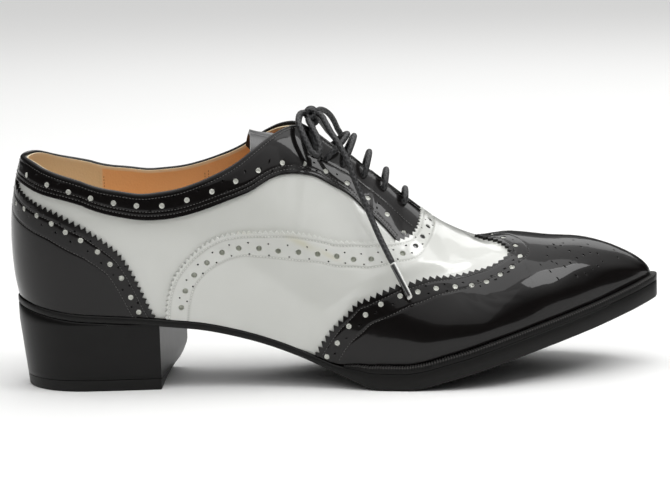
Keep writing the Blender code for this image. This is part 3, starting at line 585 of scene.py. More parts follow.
# Vegetable-tanned leather: warm and matt, with a pebbled grain of about a millimetre.
tan, tree, shader = new_finish("tan_lining", {"Roughness": 0.5, "Specular IOR Level": 0.35})
place = add(tree, "ShaderNodeTexCoord")
grain = add(tree, "ShaderNodeTexVoronoi", {"Scale": 1100.0}, {"Vector": place.outputs["Object"]})
cloud = add(tree, "ShaderNodeTexNoise", {"Scale": 45.0, "Detail": 5.0}, {"Vector": place.outputs["Object"]})
shade = add(tree, "ShaderNodeMix", {6: linear("#E3AC70"), 7: linear("#EDBC85")}, {0: cloud.outputs["Fac"]},
            data_type="RGBA")
pocket = add(tree, "ShaderNodeAttribute", attribute_name="pocket")
lined = add(tree, "ShaderNodeMix", {7: linear("#E0CBA2")}, {0: pocket.outputs["Fac"], 6: shade.outputs[2]},
            data_type="RGBA")
cut_edge = add(tree, "ShaderNodeAttribute", attribute_name="cut_edge")
edged = add(tree, "ShaderNodeMix", {7: linear("#E6D3B0")}, {0: cut_edge.outputs["Fac"], 6: lined.outputs[2]},
            data_type="RGBA")
bump = add(tree, "ShaderNodeBump", {"Strength": 0.35, "Distance": 0.15 * MM},
           {"Height": grain.outputs["Distance"]})
tree.links.new(edged.outputs[2], shader.inputs["Base Color"])
tree.links.new(bump.outputs["Normal"], shader.inputs["Normal"])


def insole_inset(along):
    """Inside the wall by a clearance that grows in the toe."""
    return -(WALL + 0.0009 + 0.0027 * np.maximum(0.0, along / SOLE_LENGTH - 0.8) / 0.2)


insole = plate("insole_board", insole_inset, lambda x: feather(x) + INSOLE, feather, 0.4 * MM, tan, count=120)
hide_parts("insole")

# The upper
# White patent leather over the whole last, 1.6 mm with its backing, lasted under at the feather edge and
# open at the collar and the throat. Soft folds lie in the quarter below the facing.
TOPLINE = np.array((
    (0.00, 0.562), (0.05, 0.560), (0.08, 0.537), (0.11, 0.515), (0.14, 0.490), (0.18, 0.475), (0.212, 0.469),
    (0.24, 0.480), (0.28, 0.506), (0.317, 0.550), (0.36, 0.628), (0.392, 0.719), (0.43, 0.842), (0.45, 0.912),
    (0.47, 0.935), (0.50, 0.945), (0.60, 0.950), (0.618, 0.955), (0.632, 1.0), (1.00, 1.0),
))
INNER_RAISE = np.array(
    ((0.00, 0.0), (0.08, 0.005), (0.20, 0.028), (0.30, 0.022), (0.38, 0.012), (0.45, 0.0), (1.00, 0.0))
)
THROAT_END = 0.632 * SOLE_LENGTH
RIDGE_HEIGHT = 0.085


def raised(side, run):
    """How much higher the inner side's collar lies than the outer one's."""
    return through(*INNER_RAISE.T, run / SOLE_LENGTH) if side == INNER else 0.0 * run


def topline(side, run):
    """Rise of the collar's and the throat's edge, and the ridge in front of the throat."""
    rise = through(*TOPLINE.T, run / SOLE_LENGTH) + raised(side, run)
    return np.where(run >= THROAT_END - 1e-9, 1.0, np.minimum(rise, 1.0))


# Folds: (side, run and rise of one end, run and rise of the other, half-width and depth in mm).
FOLDS = (
    (OUTER, 0.1205, 0.66, 0.1185, 0.47, 1.6, 0.12),
    (OUTER, 0.1275, 0.66, 0.1260, 0.44, 1.5, 0.15),
    (INNER, 0.1230, 0.66, 0.1200, 0.45, 2.0, 0.35),
    (OUTER, 0.1900, 0.42, 0.1960, 0.28, 1.5, 0.05),
    (OUTER, 0.1960, 0.40, 0.2060, 0.26, 1.5, 0.08),
    (OUTER, 0.2030, 0.38, 0.2150, 0.28, 1.5, 0.05),
    (INNER, 0.1900, 0.45, 0.2050, 0.25, 3.0, 0.35),
    (OUTER, 0.1830, 0.93, 0.1870, 0.60, 3.5, 0.25),
    (INNER, 0.1830, 0.93, 0.1870, 0.60, 3.5, 0.25),
)


def creases(side, run, rise):
    """Soft troughs along short lines: each falls off as a bell across it and fades at its ends."""
    depth = np.zeros(np.broadcast(run, rise).shape)
    for where, run_a, rise_a, run_b, rise_b, width, deep in FOLDS:
        if where != side:
            continue
        ax, ay, bx, by = run_a, rise_a * RIDGE_HEIGHT, run_b, rise_b * RIDGE_HEIGHT
        length = np.hypot(bx - ax, by - ay)
        ux, uy = (bx - ax) / length, (by - ay) / length
        x, y = run - ax, rise * RIDGE_HEIGHT - ay
        share = (x * ux + y * uy) / length
        off = (x * uy - y * ux) / (width * MM)
        fade = np.exp(-np.maximum(0, np.abs(share - 0.5) - 0.35) ** 2 / 0.03)
        depth -= deep * MM * (np.exp(-(off**2)) - 0.45 * np.exp(-((np.abs(off) - 2.0) ** 2))) * fade
    return depth


def ripples(side, run, rise):
    """The slow unevenness of stretched leather: three crossing waves, a tenth of a millimetre deep."""
    x, y = run / MM, rise * RIDGE_HEIGHT / MM
    waves = np.sin(x / 5.3 + y / 7.1 + side) + np.sin(x / 3.1 - y / 4.4 + 1.7) * 0.5
    return 0.045 * MM * (waves + np.sin(y / 3.7 + x / 11.0))


# Patent leather: a sharp clear lacquer over soft off-white. Its punched holes are painted grey, as shade over
# the white beneath, and black where they lie over a facing. Its pinholes are painted near black and the
# grooves beside its stitches grey: both are painted shade.
white, tree, shader = new_finish(
    "white_patent", {"Roughness": 0.32, "Coat Weight": 1.0, "Coat Roughness": 0.06, "Coat IOR": 1.5}
)
place = add(tree, "ShaderNodeTexCoord")
cloud = add(tree, "ShaderNodeTexNoise", {"Scale": 38.0, "Detail": 5.0}, {"Vector": place.outputs["Object"]})
shade = add(tree, "ShaderNodeMix", {6: linear("#CFD0CA"), 7: linear("#D8D9D4")}, {0: cloud.outputs["Fac"]},
            data_type="RGBA")
scuff = add(tree, "ShaderNodeAttribute", attribute_name="scuff")
worn = add(tree, "ShaderNodeMix", {7: linear("#C9C3A0")}, {0: scuff.outputs["Fac"], 6: shade.outputs[2]},
           data_type="RGBA")
hole = add(tree, "ShaderNodeAttribute", attribute_name="hole")
# The seam field paints the white grey beside each stitch groove: painted shade in the groove.
seam = add(tree, "ShaderNodeAttribute", attribute_name="seam")
sunk = add(tree, "ShaderNodeMix", {7: linear("#8E8F88")}, {0: seam.outputs["Fac"], 6: worn.outputs[2]},
           data_type="RGBA")
hole_mix = add(tree, "ShaderNodeMath", {1: 0.55}, {0: hole.outputs["Fac"]}, operation="GREATER_THAN")
backing = add(tree, "ShaderNodeAttribute", attribute_name="dark_backing")
# Hole floors: painted grey as shade over the white beneath, or black where a facing lies under them.
under = add(tree, "ShaderNodeMix", {6: linear("#A3A698"), 7: linear("#1A1A19")}, {0: backing.outputs["Fac"]},
            data_type="RGBA")
punched = add(tree, "ShaderNodeMix", data_type="RGBA",
              sources={0: hole_mix.outputs[0], 6: sunk.outputs[2], 7: under.outputs[2]})
# Pinholes are painted near black: painted shade in the small pits.
pin = add(tree, "ShaderNodeAttribute", attribute_name="pinhole")
pin_mix = add(tree, "ShaderNodeMath", {1: 0.55}, {0: pin.outputs["Fac"]}, operation="GREATER_THAN")
with_pinhole_shade = add(tree, "ShaderNodeMix", {7: linear("#15130F")}, {0: pin_mix.outputs[0], 6: punched.outputs[2]},
              data_type="RGBA")
waves = add(tree, "ShaderNodeTexNoise", {"Scale": 120.0, "Detail": 2.0}, {"Vector": place.outputs["Object"]})
bump = add(tree, "ShaderNodeBump", {"Strength": 0.12, "Distance": 0.3 * MM}, {"Height": waves.outputs["Fac"]})
tree.links.new(with_pinhole_shade.outputs[2], shader.inputs["Base Color"])
tree.links.new(bump.outputs["Normal"], shader.inputs["Normal"])
tree.links.new(bump.outputs["Normal"], shader.inputs["Coat Normal"])

UPPER_BELOW_ROLL = 1.3 * MM


def upper_shell():
    """Both halves of the last from the feather to the topline, out and back at the wall's depth."""
    columns, rows = 250, 52
    runs = even_runs(0.0, LAST_LENGTH, columns)
    points, faces = [], []
    for side in SIDES:
        top = topline(side, runs)
        below = last(side, runs, np.maximum(top - 0.02, 0))
        height = np.linalg.norm(last(side, runs, top) - below, axis=-1) / 0.02
        top = np.where(runs >= THROAT_END, 1.0, top - UPPER_BELOW_ROLL / np.maximum(height, 0.02))
        share = np.linspace(0, 1, rows)[None, :]
        rise = top[:, None] * share
        run = np.repeat(runs[:, None], rows, 1)
        fade = np.clip(share * 8, 0, 1)
        for out in (creases(side, run, rise) * fade, np.full(run.shape, -WALL + 0.1 * MM)):
            start = sum(len(part) for part in points)
            points.append(skin(side, run, rise, out).reshape(-1, 3))
            faces += grid(columns, rows, start)
        outside, inside = start - columns * rows, start
        for i in range(columns - 1):
            a, b = i * rows, (i + 1) * rows
            faces.append((outside + a, outside + b, inside + b, inside + a))
            if runs[i] < THROAT_END:
                a, b = a + rows - 1, b + rows - 1
                faces.append((outside + a, outside + b, inside + b, inside + a))
    return np.concatenate(points), faces


upper = new_piece("quarters_and_lasted_upper", *upper_shell(), white)
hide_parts("upper")

# The lining
# Tan leather glued inside the quarters, with a lighter pocket round the heel, two upright seams and a
# cream cut edge along the collar.
LINING = 0.0005
POCKET_RUN = 0.0385
SEAM_RUN = 0.0846
SEAM_WIDTH = 0.7 * MM
LINING_FOOT = 0.035
LINING_BELOW_TOP = 0.004


def lining_shell():
    """The last's inside from the insole up to the topline, one sheet round the back, its edges turned."""
    columns, rows = 200, 40
    runs = np.linspace(0, THROAT_END - 2 * MM, columns)
    points, faces, pocket, cut = [], [], [], []
    for side in SIDES:
        top = topline(side, runs)
        share = np.concatenate([np.linspace(0, 0.97, rows - 3), [0.985, 0.995, 1.0]])[None, :]
        low = np.full(columns, LINING_FOOT)
        rise = low[:, None] + (top - low - LINING_BELOW_TOP)[:, None] * share
        run = np.repeat(runs[:, None], rows, 1)
        seam = sum(np.exp(-(((run - place) / SEAM_WIDTH) ** 2)) for place in (POCKET_RUN, SEAM_RUN))
        face = -WALL - LINING - 0.25 * MM * np.clip(seam, 0, 1) * (share < 0.98)
        for out in (face, np.full(run.shape, -WALL)):
            start = sum(len(part) for part in points)
            points.append(skin(side, run, rise, out).reshape(-1, 3))
            faces += grid(columns, rows, start)
            pocket.append((run < POCKET_RUN).astype(float).ravel())
            cut.append(np.broadcast_to(share > 0.984, run.shape).astype(float).ravel())
        first, second = start - columns * rows, start
        for i in range(columns - 1):
            for k in (0, rows - 1):
                a, b = i * rows + k, (i + 1) * rows + k
                faces.append((first + a, first + b, second + b, second + a))
        end = (columns - 1) * rows
        for k in range(end, end + rows - 1):
            faces.append((first + k, first + k + 1, second + k + 1, second + k))
    return np.concatenate(points), faces, {"pocket": np.concatenate(pocket), "cut_edge": np.concatenate(cut)}


lining_points, lining_faces, lining_fields = lining_shell()
lining = new_piece("quarter_lining", lining_points, lining_faces, tan, lining_fields)

# The black panels
# Black patent leather panels are laid over the upper: round the heel, round the collar and on both sides
# of the throat. Their free edges are pinked in saw teeth or folded, and rows of holes are punched beside
# the stitching.
PANEL = 0.0010
PANEL_FACE = GAP + PANEL
COLUMN_STEP = 0.46 * MM
EDGE_ROUND = 0.35 * MM
BIG_HOLE = 1.25 * MM
PIN_HOLE = 0.45 * MM
HOLE_RIM = (0.78, 1.22)
GROOVE_DEPTH = 0.16 * MM
GROOVE_WIDTH = 0.55 * MM
SQUARE_LEAD = 16 * MM
RIDGE_LEAD = 15 * MM
RIDGE_DROP = 0.19
PIT_SHARE = 0.75
PIN_PIT_SHARE = 0.7
STEPS_A_TOOTH = 6
BACK_SKIP = 6
ON_RIDGE = 0.99999

# Black patent leather: near black under a clear lacquer that mirrors the lights. Its holes show the white
# beneath; its pinholes and lace holes are painted darker still, as shade in the pits.
black, tree, shader = new_finish(
    "black_patent",
    {"Roughness": 0.35, "Specular IOR Level": 0.1, "Coat Weight": 0.6, "Coat Roughness": 0.04,
     "Coat IOR": 1.45},
)
place = add(tree, "ShaderNodeTexCoord")
cloud = add(tree, "ShaderNodeTexNoise", {"Scale": 70.0, "Detail": 4.0}, {"Vector": place.outputs["Object"]})
shade = add(tree, "ShaderNodeMix", {6: linear("#080606"), 7: linear("#0F0C0B")}, {0: cloud.outputs["Fac"]},
            data_type="RGBA")
hole = add(tree, "ShaderNodeAttribute", attribute_name="hole")
hole_mix = add(tree, "ShaderNodeMath", {1: 0.55}, {0: hole.outputs["Fac"]}, operation="GREATER_THAN")
punched = add(tree, "ShaderNodeMix", {7: linear("#E4E5DE")}, {0: hole_mix.outputs[0], 6: shade.outputs[2]},
              data_type="RGBA")
# Pinholes and lace holes are painted near black: painted shade in the pits.
pin = add(tree, "ShaderNodeAttribute", attribute_name="pinhole")
pin_mix = add(tree, "ShaderNodeMath", {1: 0.52}, {0: pin.outputs["Fac"]}, operation="GREATER_THAN")
with_pinhole_shade = add(tree, "ShaderNodeMix", {7: linear("#020202")}, {0: pin_mix.outputs[0], 6: punched.outputs[2]},
              data_type="RGBA")
waves = add(tree, "ShaderNodeTexNoise", {"Scale": 160.0, "Detail": 2.0}, {"Vector": place.outputs["Object"]})
bump = add(tree, "ShaderNodeBump", {"Strength": 0.15, "Distance": 0.3 * MM}, {"Height": waves.outputs["Fac"]})
tree.links.new(with_pinhole_shade.outputs[2], shader.inputs["Base Color"])
tree.links.new(bump.outputs["Normal"], shader.inputs["Normal"])
tree.links.new(bump.outputs["Normal"], shader.inputs["Coat Normal"])


def edge_of(table, count=600):
    """A smooth line through a table of (share of the sole's length, rise), as runs in metres and rises."""
    table = np.array(table)
    steps = np.hypot(np.diff(table[:, 0]) * SOLE_LENGTH, np.diff(table[:, 1]) * RIDGE_HEIGHT)
    lengths = np.concatenate([[0.0], np.cumsum(steps)])
    fine = np.linspace(0, lengths[-1], count)
    runs, rises = (through(lengths, table[:, k], fine) for k in range(2))
    return np.stack([runs * SOLE_LENGTH, rises], -1)


def lengths_of(side, line):
    """Distance along a line of (run, rise) over the last, from its start."""
    return distances(skin(side, line[:, 0], line[:, 1], np.zeros(len(line))))


def spread(side, line, at):
    """Reads a line of (run, rise) at distances along it over the last."""
    return read(line, lengths_of(side, line), at)


class Panel:
    """A sheet over the last, gathered from patches, with its holes, seam grooves and thickness."""

    def __init__(self, top, bottom):
        self.top, self.bottom = top, bottom
        self.points, self.normals, self.scuffs, self.backs, self.faces = [], [], [], [], []
        self.count = 0

    def lay(self, points, normals, scuffs, back):
        """Adds one face of the sheet, points (columns, rows, 3), and returns its first point's number."""
        start = self.count
        self.points.append(points.reshape(-1, 3))
        self.normals.append(normals.reshape(-1, 3))
        self.scuffs.append(scuffs.ravel())
        self.backs.append(np.full(scuffs.size, back))
        self.faces += grid(*scuffs.shape, start)
        self.count += scuffs.size
        return start

    def patch(self, side, low, high, rows, pitch=0.0, tooth=0.0, free_low=False, top=None, scuffs=None,
              fine=(), around=0.0):
        """Columns run from the high edge, a line of (run, rise), to the low one. Teeth are cut square to the
        edge. Columns that start on the ridge behind `around` go forward over it before they turn down."""
        total = lengths_of(side, high)[-1]
        columns = round(total / pitch) * STEPS_A_TOOTH if pitch else round(total / COLUMN_STEP)
        edge = spread(side, high, np.linspace(0, total, columns + 1))
        foot_total = lengths_of(side, low)[-1]
        foot = spread(side, low, np.linspace(0, foot_total, columns + 1))
        shut = edge[:, 1:] >= ON_RIDGE
        flat = np.array((1.0, RIDGE_HEIGHT))
        way = unit(np.gradient(edge, axis=0) * flat)
        across = (foot - edge) * flat
        turn = np.sign(np.median(way[:, 0] * across[:, 1] - way[:, 1] * across[:, 0]))
        inward = np.stack([-way[:, 1], way[:, 0]], -1) * turn
        lead = np.minimum(np.linalg.norm(across, axis=1, keepdims=True) * 0.45, SQUARE_LEAD)
        middle = np.clip(edge + inward * lead / flat, (0, 0), (LAST_LENGTH, 1))
        if around:
            past = np.clip((edge[:, :1] - around) / RIDGE_LEAD, 0, 1)
            beside = np.concatenate([np.maximum(edge[:, :1], around), 1 - RIDGE_DROP * past], axis=1)
            middle = np.where(shut, beside, middle)
        share = np.linspace(0, 1, 60)[None, :]
        a, m, b = (tipward(line[:, :1]) for line in (edge, middle, foot))

        def along(part):
            """The column, leaving the edge squarely: a quadratic curve over the middle point, by share."""
            back = 1 - part
            scale = back**2 * a + 2 * back * part * m + part**2 * b
            rises = back**2 * edge[:, 1:] + 2 * back * part * middle[:, 1:] + part**2 * foot[:, 1:]
            return LAST_LENGTH * (1 - scale**2), rises

        runs, rises = along(share)
        spots = skin(side, runs, rises, np.zeros(runs.shape))
        steps = np.linalg.norm(np.diff(spots, axis=1), axis=2)
        lengths = np.concatenate([np.zeros((columns + 1, 1)), np.cumsum(steps, axis=1)], axis=1)
        width = lengths[:, -1:]
        near = np.minimum(0.15 * MM, width / 12)
        parts, reached, left = [], near * 2.4, rows
        for reach, count in fine:
            stop = np.minimum(reach * MM, width * 0.85)
            parts.append(reached + (stop - reached) * np.arange(count)[None, :] / count)
            reached, left = stop, left - count
        parts.append(reached + (width - reached) * np.linspace(0, 1, left)[None, :])
        at = np.concatenate([0 * near, near, *parts], axis=1)
        if free_low:
            at = np.concatenate([at[:, :-1], width - near * 2.2, width - near, width], axis=1)
        at = np.minimum(at, width)
        f = np.stack([np.interp(at[i], lengths[i], share[0]) for i in range(columns + 1)])
        run, rise = along(f)
        run[:, 0], run[:, -1] = edge[:, 0], foot[:, 0]
        if pitch:
            phase = np.arange(columns + 1) / STEPS_A_TOOTH % 1.0
            cut = tooth * np.abs(2 * phase - 1)[:, None] * ~shut
            fade = np.clip(1.0 - at / (tooth * 2.2), 0, 1) * np.clip((width - at) / (4 * MM), 0, 1)
            run = np.clip(run + way[:, 1:] * cut * fade, 0, LAST_LENGTH)
            rise = np.clip(rise - way[:, :1] * cut * fade / RIDGE_HEIGHT, 0, 1)
        round_off = np.where(shut, 0.0, self.rounding(at))
        if free_low:
            round_off = round_off + self.rounding(width - at)
        level = np.full(run.shape, self.top) if top is None else top(side, run, rise)
        out = level - round_off + creases(side, run, rise) + ripples(side, run, rise)
        keep = np.unique(np.concatenate([np.arange(0, run.shape[1], BACK_SKIP), [run.shape[1] - 1]]))
        front = skin(side, run, rise, out)
        back = skin(side, run[:, keep], rise[:, keep], np.full((columns + 1, len(keep)), self.bottom))
        worn = scuffs(side, run, rise) if scuffs else np.zeros(run.shape)
        start = self.lay(front, outward(side, run, rise), worn, False)
        under = self.lay(back, np.zeros(back.shape), np.zeros(back.shape[:2]), True)
        size, back_size = run.shape[1], len(keep)
        for i in range(columns):
            a, b = start + i * size, start + (i + 1) * size
            c, d = under + i * back_size, under + (i + 1) * back_size
            if min(edge[i, 1], edge[i + 1, 1]) < ON_RIDGE:
                self.faces.append((a, b, d, c))
            if min(foot[i, 1], foot[i + 1, 1]) < ON_RIDGE:
                self.faces.append((a + size - 1, b + size - 1, d + back_size - 1, c + back_size - 1))
        self.ends = (start, size, under, keep, columns)

    def close(self, column):
        """Walls off the first or the last column of the newest patch."""
        start, size, under, keep, columns = self.ends
        i = 0 if column == "first" else columns
        for k in range(len(keep) - 1):
            front = [start + i * size + j for j in range(keep[k], keep[k + 1] + 1)]
            self.faces.append(tuple(front + [under + i * len(keep) + k + 1, under + i * len(keep) + k]))

    @staticmethod
    def rounding(distance):
        """How far a rounded edge has fallen at a distance from it: a quarter circle."""
        near = np.clip(EDGE_ROUND - distance, 0, EDGE_ROUND)
        return EDGE_ROUND - np.sqrt(EDGE_ROUND**2 - near**2)

    def finish(self, name, finish, big=(), small=(), grooves=(), dark=()):
        """Presses the seam grooves, punches the holes and makes the piece. A hole is its side, run, rise and
        radius. The groove's depth falls off as a bell across it, and a hole is a flat-bottomed pit."""
        points, normals = np.concatenate(self.points), np.concatenate(self.normals)
        back = np.concatenate(self.backs)
        hole, pinhole, seam = np.zeros((3, len(points)))
        depth = self.top - self.bottom
        front = np.flatnonzero(~back)
        for side, run, rise in grooves_points(grooves):
            spot = skin(side, run, rise, np.full(run.shape, self.top))
            lowest, highest = spot.min(0) - 2 * MM, spot.max(0) + 2 * MM
            near = front[np.all((points[front] > lowest) & (points[front] < highest), axis=1)]
            for block in np.array_split(near, max(1, len(near) // 4000)):
                gap = np.min(np.linalg.norm(points[block][:, None] - spot[None], axis=2), axis=1)
                press = GROOVE_DEPTH * np.exp(-((gap / GROOVE_WIDTH) ** 2))
                points[block] -= normals[block] * press[:, None]
                # Seam: where the white finish paints grey shade beside the stitch groove.
                seam[block] = np.maximum(seam[block], 0.6 * np.exp(-((gap / (0.50 * MM)) ** 2)))
        for side, run, rise, radius in [*big, *dark]:
            centre = skin(side, np.array(run), np.array(rise), np.array(self.top))
            close = front[np.linalg.norm(points[front] - centre, axis=1) < radius * 2]
            off = points[close] - centre
            off -= normals[close] * np.sum(off * normals[close], axis=1)[:, None]
            distance = np.linalg.norm(off, axis=1)
            rim = (distance > radius * HOLE_RIM[0]) & (distance < radius * HOLE_RIM[1])
            points[close[rim]] += off[rim] * (radius / distance[rim] - 1)[:, None]
            distance[rim] = radius
            points[close] -= normals[close] * (depth * PIT_SHARE * (distance < radius * HOLE_RIM[0]))[:, None]
            # White hole floors are painted grey shade; pinholes and lace holes are painted near black shade.
            field = hole if radius < 1.4 * MM else pinhole
            field[close] = np.maximum(field[close], 1 - distance / (2 * radius))
        for side, run, rise, radius in small:
            centre = skin(side, np.array(run), np.array(rise), np.array(self.top))
            distance = np.linalg.norm(points[front] - centre, axis=1)
            if distance.min() > 1.0 * MM:
                continue
            spot = front[np.argmin(distance)]
            points[spot] += centre - points[spot]
            close = front[distance < radius * 2]
            reach = np.linalg.norm(points[close] - centre, axis=1)
            pinhole[close] = np.maximum(pinhole[close], 1 - reach / (2 * radius))
            points[spot] -= normals[spot] * depth * PIN_PIT_SHARE
        fields = {"hole": hole, "pinhole": pinhole, "seam": seam, "scuff": np.concatenate(self.scuffs)}
        fields["dark_backing"] = (points[:, 0] > 169 * MM - MIDDLE).astype(float)
        return new_piece(name, points, self.faces, finish, fields, sharp=38)


def grooves_points(lines):
    """Each seam line as (side, runs, rises), a point every millimetre."""
    for side, line in lines:
        total = lengths_of(side, line)[-1]
        even = spread(side, line, np.linspace(0, total, max(2, int(total / MM))))
        yield side, even[:, 0], even[:, 1]


def line_of(places):
    """A smooth seam line through places given as (run in mm, rise)."""
    table = np.array(places, float)
    table[:, 0] *= MM / SOLE_LENGTH
    return edge_of(table)


def punched_row(places, sides=SIDES, apart=1.7 * MM, radius=BIG_HOLE, collar=False):
    """Big holes at places given as (run in mm, rise), and pairs of pinholes across the row between them."""
    big, small = [], []
    for side in sides:
        lifts = [float(raised(side, np.array(run * MM))) * collar for run, _ in places]
        row = np.array([(run * MM, rise + lift) for (run, rise), lift in zip(places, lifts)])
        big += [(side, run, rise, radius) for run, rise in row]
        for one, two in zip(row, row[1:]):
            middle = (one + two) / 2
            way = (two - one) * (1.0, RIDGE_HEIGHT)
            way /= np.linalg.norm(way)
            for sign in (-1, 1):
                run = middle[0] - way[1] * apart * sign
                small.append((side, run, middle[1] + way[0] * apart * sign / RIDGE_HEIGHT, PIN_HOLE))
    return big, small


def moved(side_line, by):
    """A line of (run, rise) moved sideways over the last by a distance, to the left of its way."""
    step = unit(np.gradient(side_line, axis=0) * (1.0, RIDGE_HEIGHT))
    runs = np.clip(side_line[:, 0] - step[:, 1] * by, 0, LAST_LENGTH)
    return np.stack([runs, np.clip(side_line[:, 1] + step[:, 0] * by / RIDGE_HEIGHT, 0, 1)], -1)


thread_rows = []

# The heel counter
# The panel round the heel, pinked along its upper edge, with one row of punched holes between two rows of
# stitches.
COUNTER_EDGE = (
    (0.00, 0.460), (0.018, 0.452), (0.03, 0.434), (0.044, 0.420), (0.074, 0.394), (0.096, 0.375),
    (0.113, 0.350), (0.138, 0.312), (0.158, 0.281), (0.174, 0.250), (0.187, 0.206), (0.198, 0.156),
    (0.207, 0.106), (0.216, 0.050), (0.225, 0.0),
)
COUNTER_HOLES = (
    (2.8, 0.384), (8.4, 0.381), (14.0, 0.375), (19.7, 0.363), (24.9, 0.344), (29.1, 0.319),
    (33.4, 0.294), (40.0, 0.256), (45.0, 0.213), (49.5, 0.163), (53.0, 0.088), (56.0, 0.025),
)
COUNTER_SEAMS = (3.2 * MM, 8.8 * MM)
counter = Panel(PANEL_FACE, 0.0)
counter_edge = moved(edge_of(COUNTER_EDGE), 0.9 * MM)
counter_edge[[0, -1]] = ((0.0, counter_edge[0, 1]), (counter_edge[-1, 0], 0.0))
counter_foot = edge_of(((0.0, 0.0), (0.05, 0.0), (0.09, 0.0)))
for side in SIDES:
    counter.patch(side, counter_foot, counter_edge, 66, pitch=2.7 * MM, tooth=1.5 * MM, fine=((13, 32),))
counter_big, counter_small = punched_row(COUNTER_HOLES)
counter_seams = [(side, moved(counter_edge, -by)) for side in SIDES for by in COUNTER_SEAMS]
thread_rows += [(side, line, PANEL_FACE, "black") for side, line in counter_seams]
heel_counter = counter.finish("heel_counter_patent", black, counter_big, counter_small, counter_seams)
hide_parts("heel_counter")

# The collar band
# A narrow band round the collar, folded over the topline, with holes along its middle and two rows of
# stitches.
BAND_EDGE = np.array((
    (0.00, 0.468), (0.04, 0.462), (0.072, 0.444), (0.107, 0.428), (0.14, 0.400), (0.18, 0.381), (0.21, 0.375),
    (0.24, 0.381), (0.29, 0.411), (0.34, 0.467), (0.374, 0.513), (0.41, 0.582), (0.45, 0.634),
))
FACING_START = 0.45 * SOLE_LENGTH
ROLL_BELOW = 1.1 * MM
ROLL_INSIDE = 0.7 * MM
ROLL_STEPS = 11
roll_points, roll_faces = [], []


def band_edge(side, run):
    return through(*BAND_EDGE.T, run / SOLE_LENGTH) + raised(side, run)


def upright(side, run, rise):
    """Metres over the last for one whole rise, here."""
    return np.linalg.norm(last(side, run, rise) - last(side, run, rise - 0.02), axis=-1) / 0.02


def fold_over(side, runs, top_rise):
    """Adds a folded edge to the binding: a half circle from the panel's face over the edge to the inside."""
    turn = np.linspace(0, pi, ROLL_STEPS)[None, :]
    thick = (PANEL_FACE + ROLL_INSIDE) / 2
    middle = (PANEL_FACE - ROLL_INSIDE) / 2
    out = middle + thick * np.cos(turn) + 0 * runs[:, None]
    lift = ROLL_BELOW * np.sin(turn)
    rise = top_rise[:, None] - (ROLL_BELOW - lift) / upright(side, runs, top_rise)[:, None]
    roll_faces.extend(grid(len(runs), ROLL_STEPS, sum(len(part) for part in roll_points)))
    roll_points.append(skin(side, np.repeat(runs[:, None], ROLL_STEPS, 1), rise, out).reshape(-1, 3))


band = Panel(PANEL_FACE, 0.0)
band_line = {}
for side in SIDES:
    runs = np.linspace(0, FACING_START, 500)
    top = topline(side, runs)
    lowered = top - ROLL_BELOW / upright(side, runs, top)
    low_line = np.stack([runs, band_edge(side, runs)], -1)
    high_line = np.stack([runs, lowered], -1)
    band.patch(side, low_line, high_line, 24, free_low=True)
    band.close("last")
    band_line[side] = (low_line, high_line)
    steps = np.linspace(0, FACING_START, 260)
    fold_over(side, steps, topline(side, steps))
BAND_HOLES = (
    (4.5, 0.508), (13.4, 0.500), (22.9, 0.481), (30.2, 0.463), (38.0, 0.444), (47.5, 0.431),
    (57.0, 0.425), (67.5, 0.431), (78.0, 0.456), (88.5, 0.494), (98.5, 0.544), (108.0, 0.600),
    (118.0, 0.650),
)
band_big, band_small = punched_row(BAND_HOLES, collar=True)
band_seams = []
for side in SIDES:
    low_line, high_line = band_line[side]
    for line, by in ((low_line, 1.3 * MM), (low_line, 2.5 * MM), (high_line, -0.9 * MM)):
        band_seams.append((side, moved(line, by)))
thread_rows += [(side, line, PANEL_FACE, "black") for side, line in band_seams]
collar = band.finish("collar_band_patent", black, band_big, band_small, band_seams)
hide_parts("collar_band")

# The facings
# A black panel with five lace holes on each side of the throat, tucked under the vamp in front, its lower
# edge folded and stitched twice, its throat edge folded over.
FACING_EDGE = (
    (0.45, 0.634), (0.478, 0.667), (0.50, 0.675), (0.523, 0.669), (0.547, 0.646), (0.57, 0.622),
    (0.596, 0.577),
)
FACING_FRONT = (
    (0.596, 0.577), (0.610, 0.600), (0.622, 0.650), (0.632, 0.730), (0.636, 0.860), (0.637, 0.950),
)
EYELETS = ((0.606, 0.869), (0.575, 0.850), (0.545, 0.838), (0.516, 0.819), (0.480, 0.763))
EYELET_RADIUS = 1.45 * MM
FACING_TOP = 0.955
FACING_STOP = 0.637 * SOLE_LENGTH
FACING_LEVEL_FROM = 0.615 * SOLE_LENGTH


def facing_top(side, run):
    """The throat's edge, which stays level in front of the last lace holes."""
    return np.minimum(topline(side, np.minimum(run, FACING_LEVEL_FROM)), FACING_TOP)


def facing_level(side, run, rise):
    """The facing thins to half towards its front end, which lies under the vamp."""
    front = np.clip((run / SOLE_LENGTH - 0.585) / 0.03, 0, 1)
    return PANEL_FACE - 0.45 * MM * front * front * (3 - 2 * front)


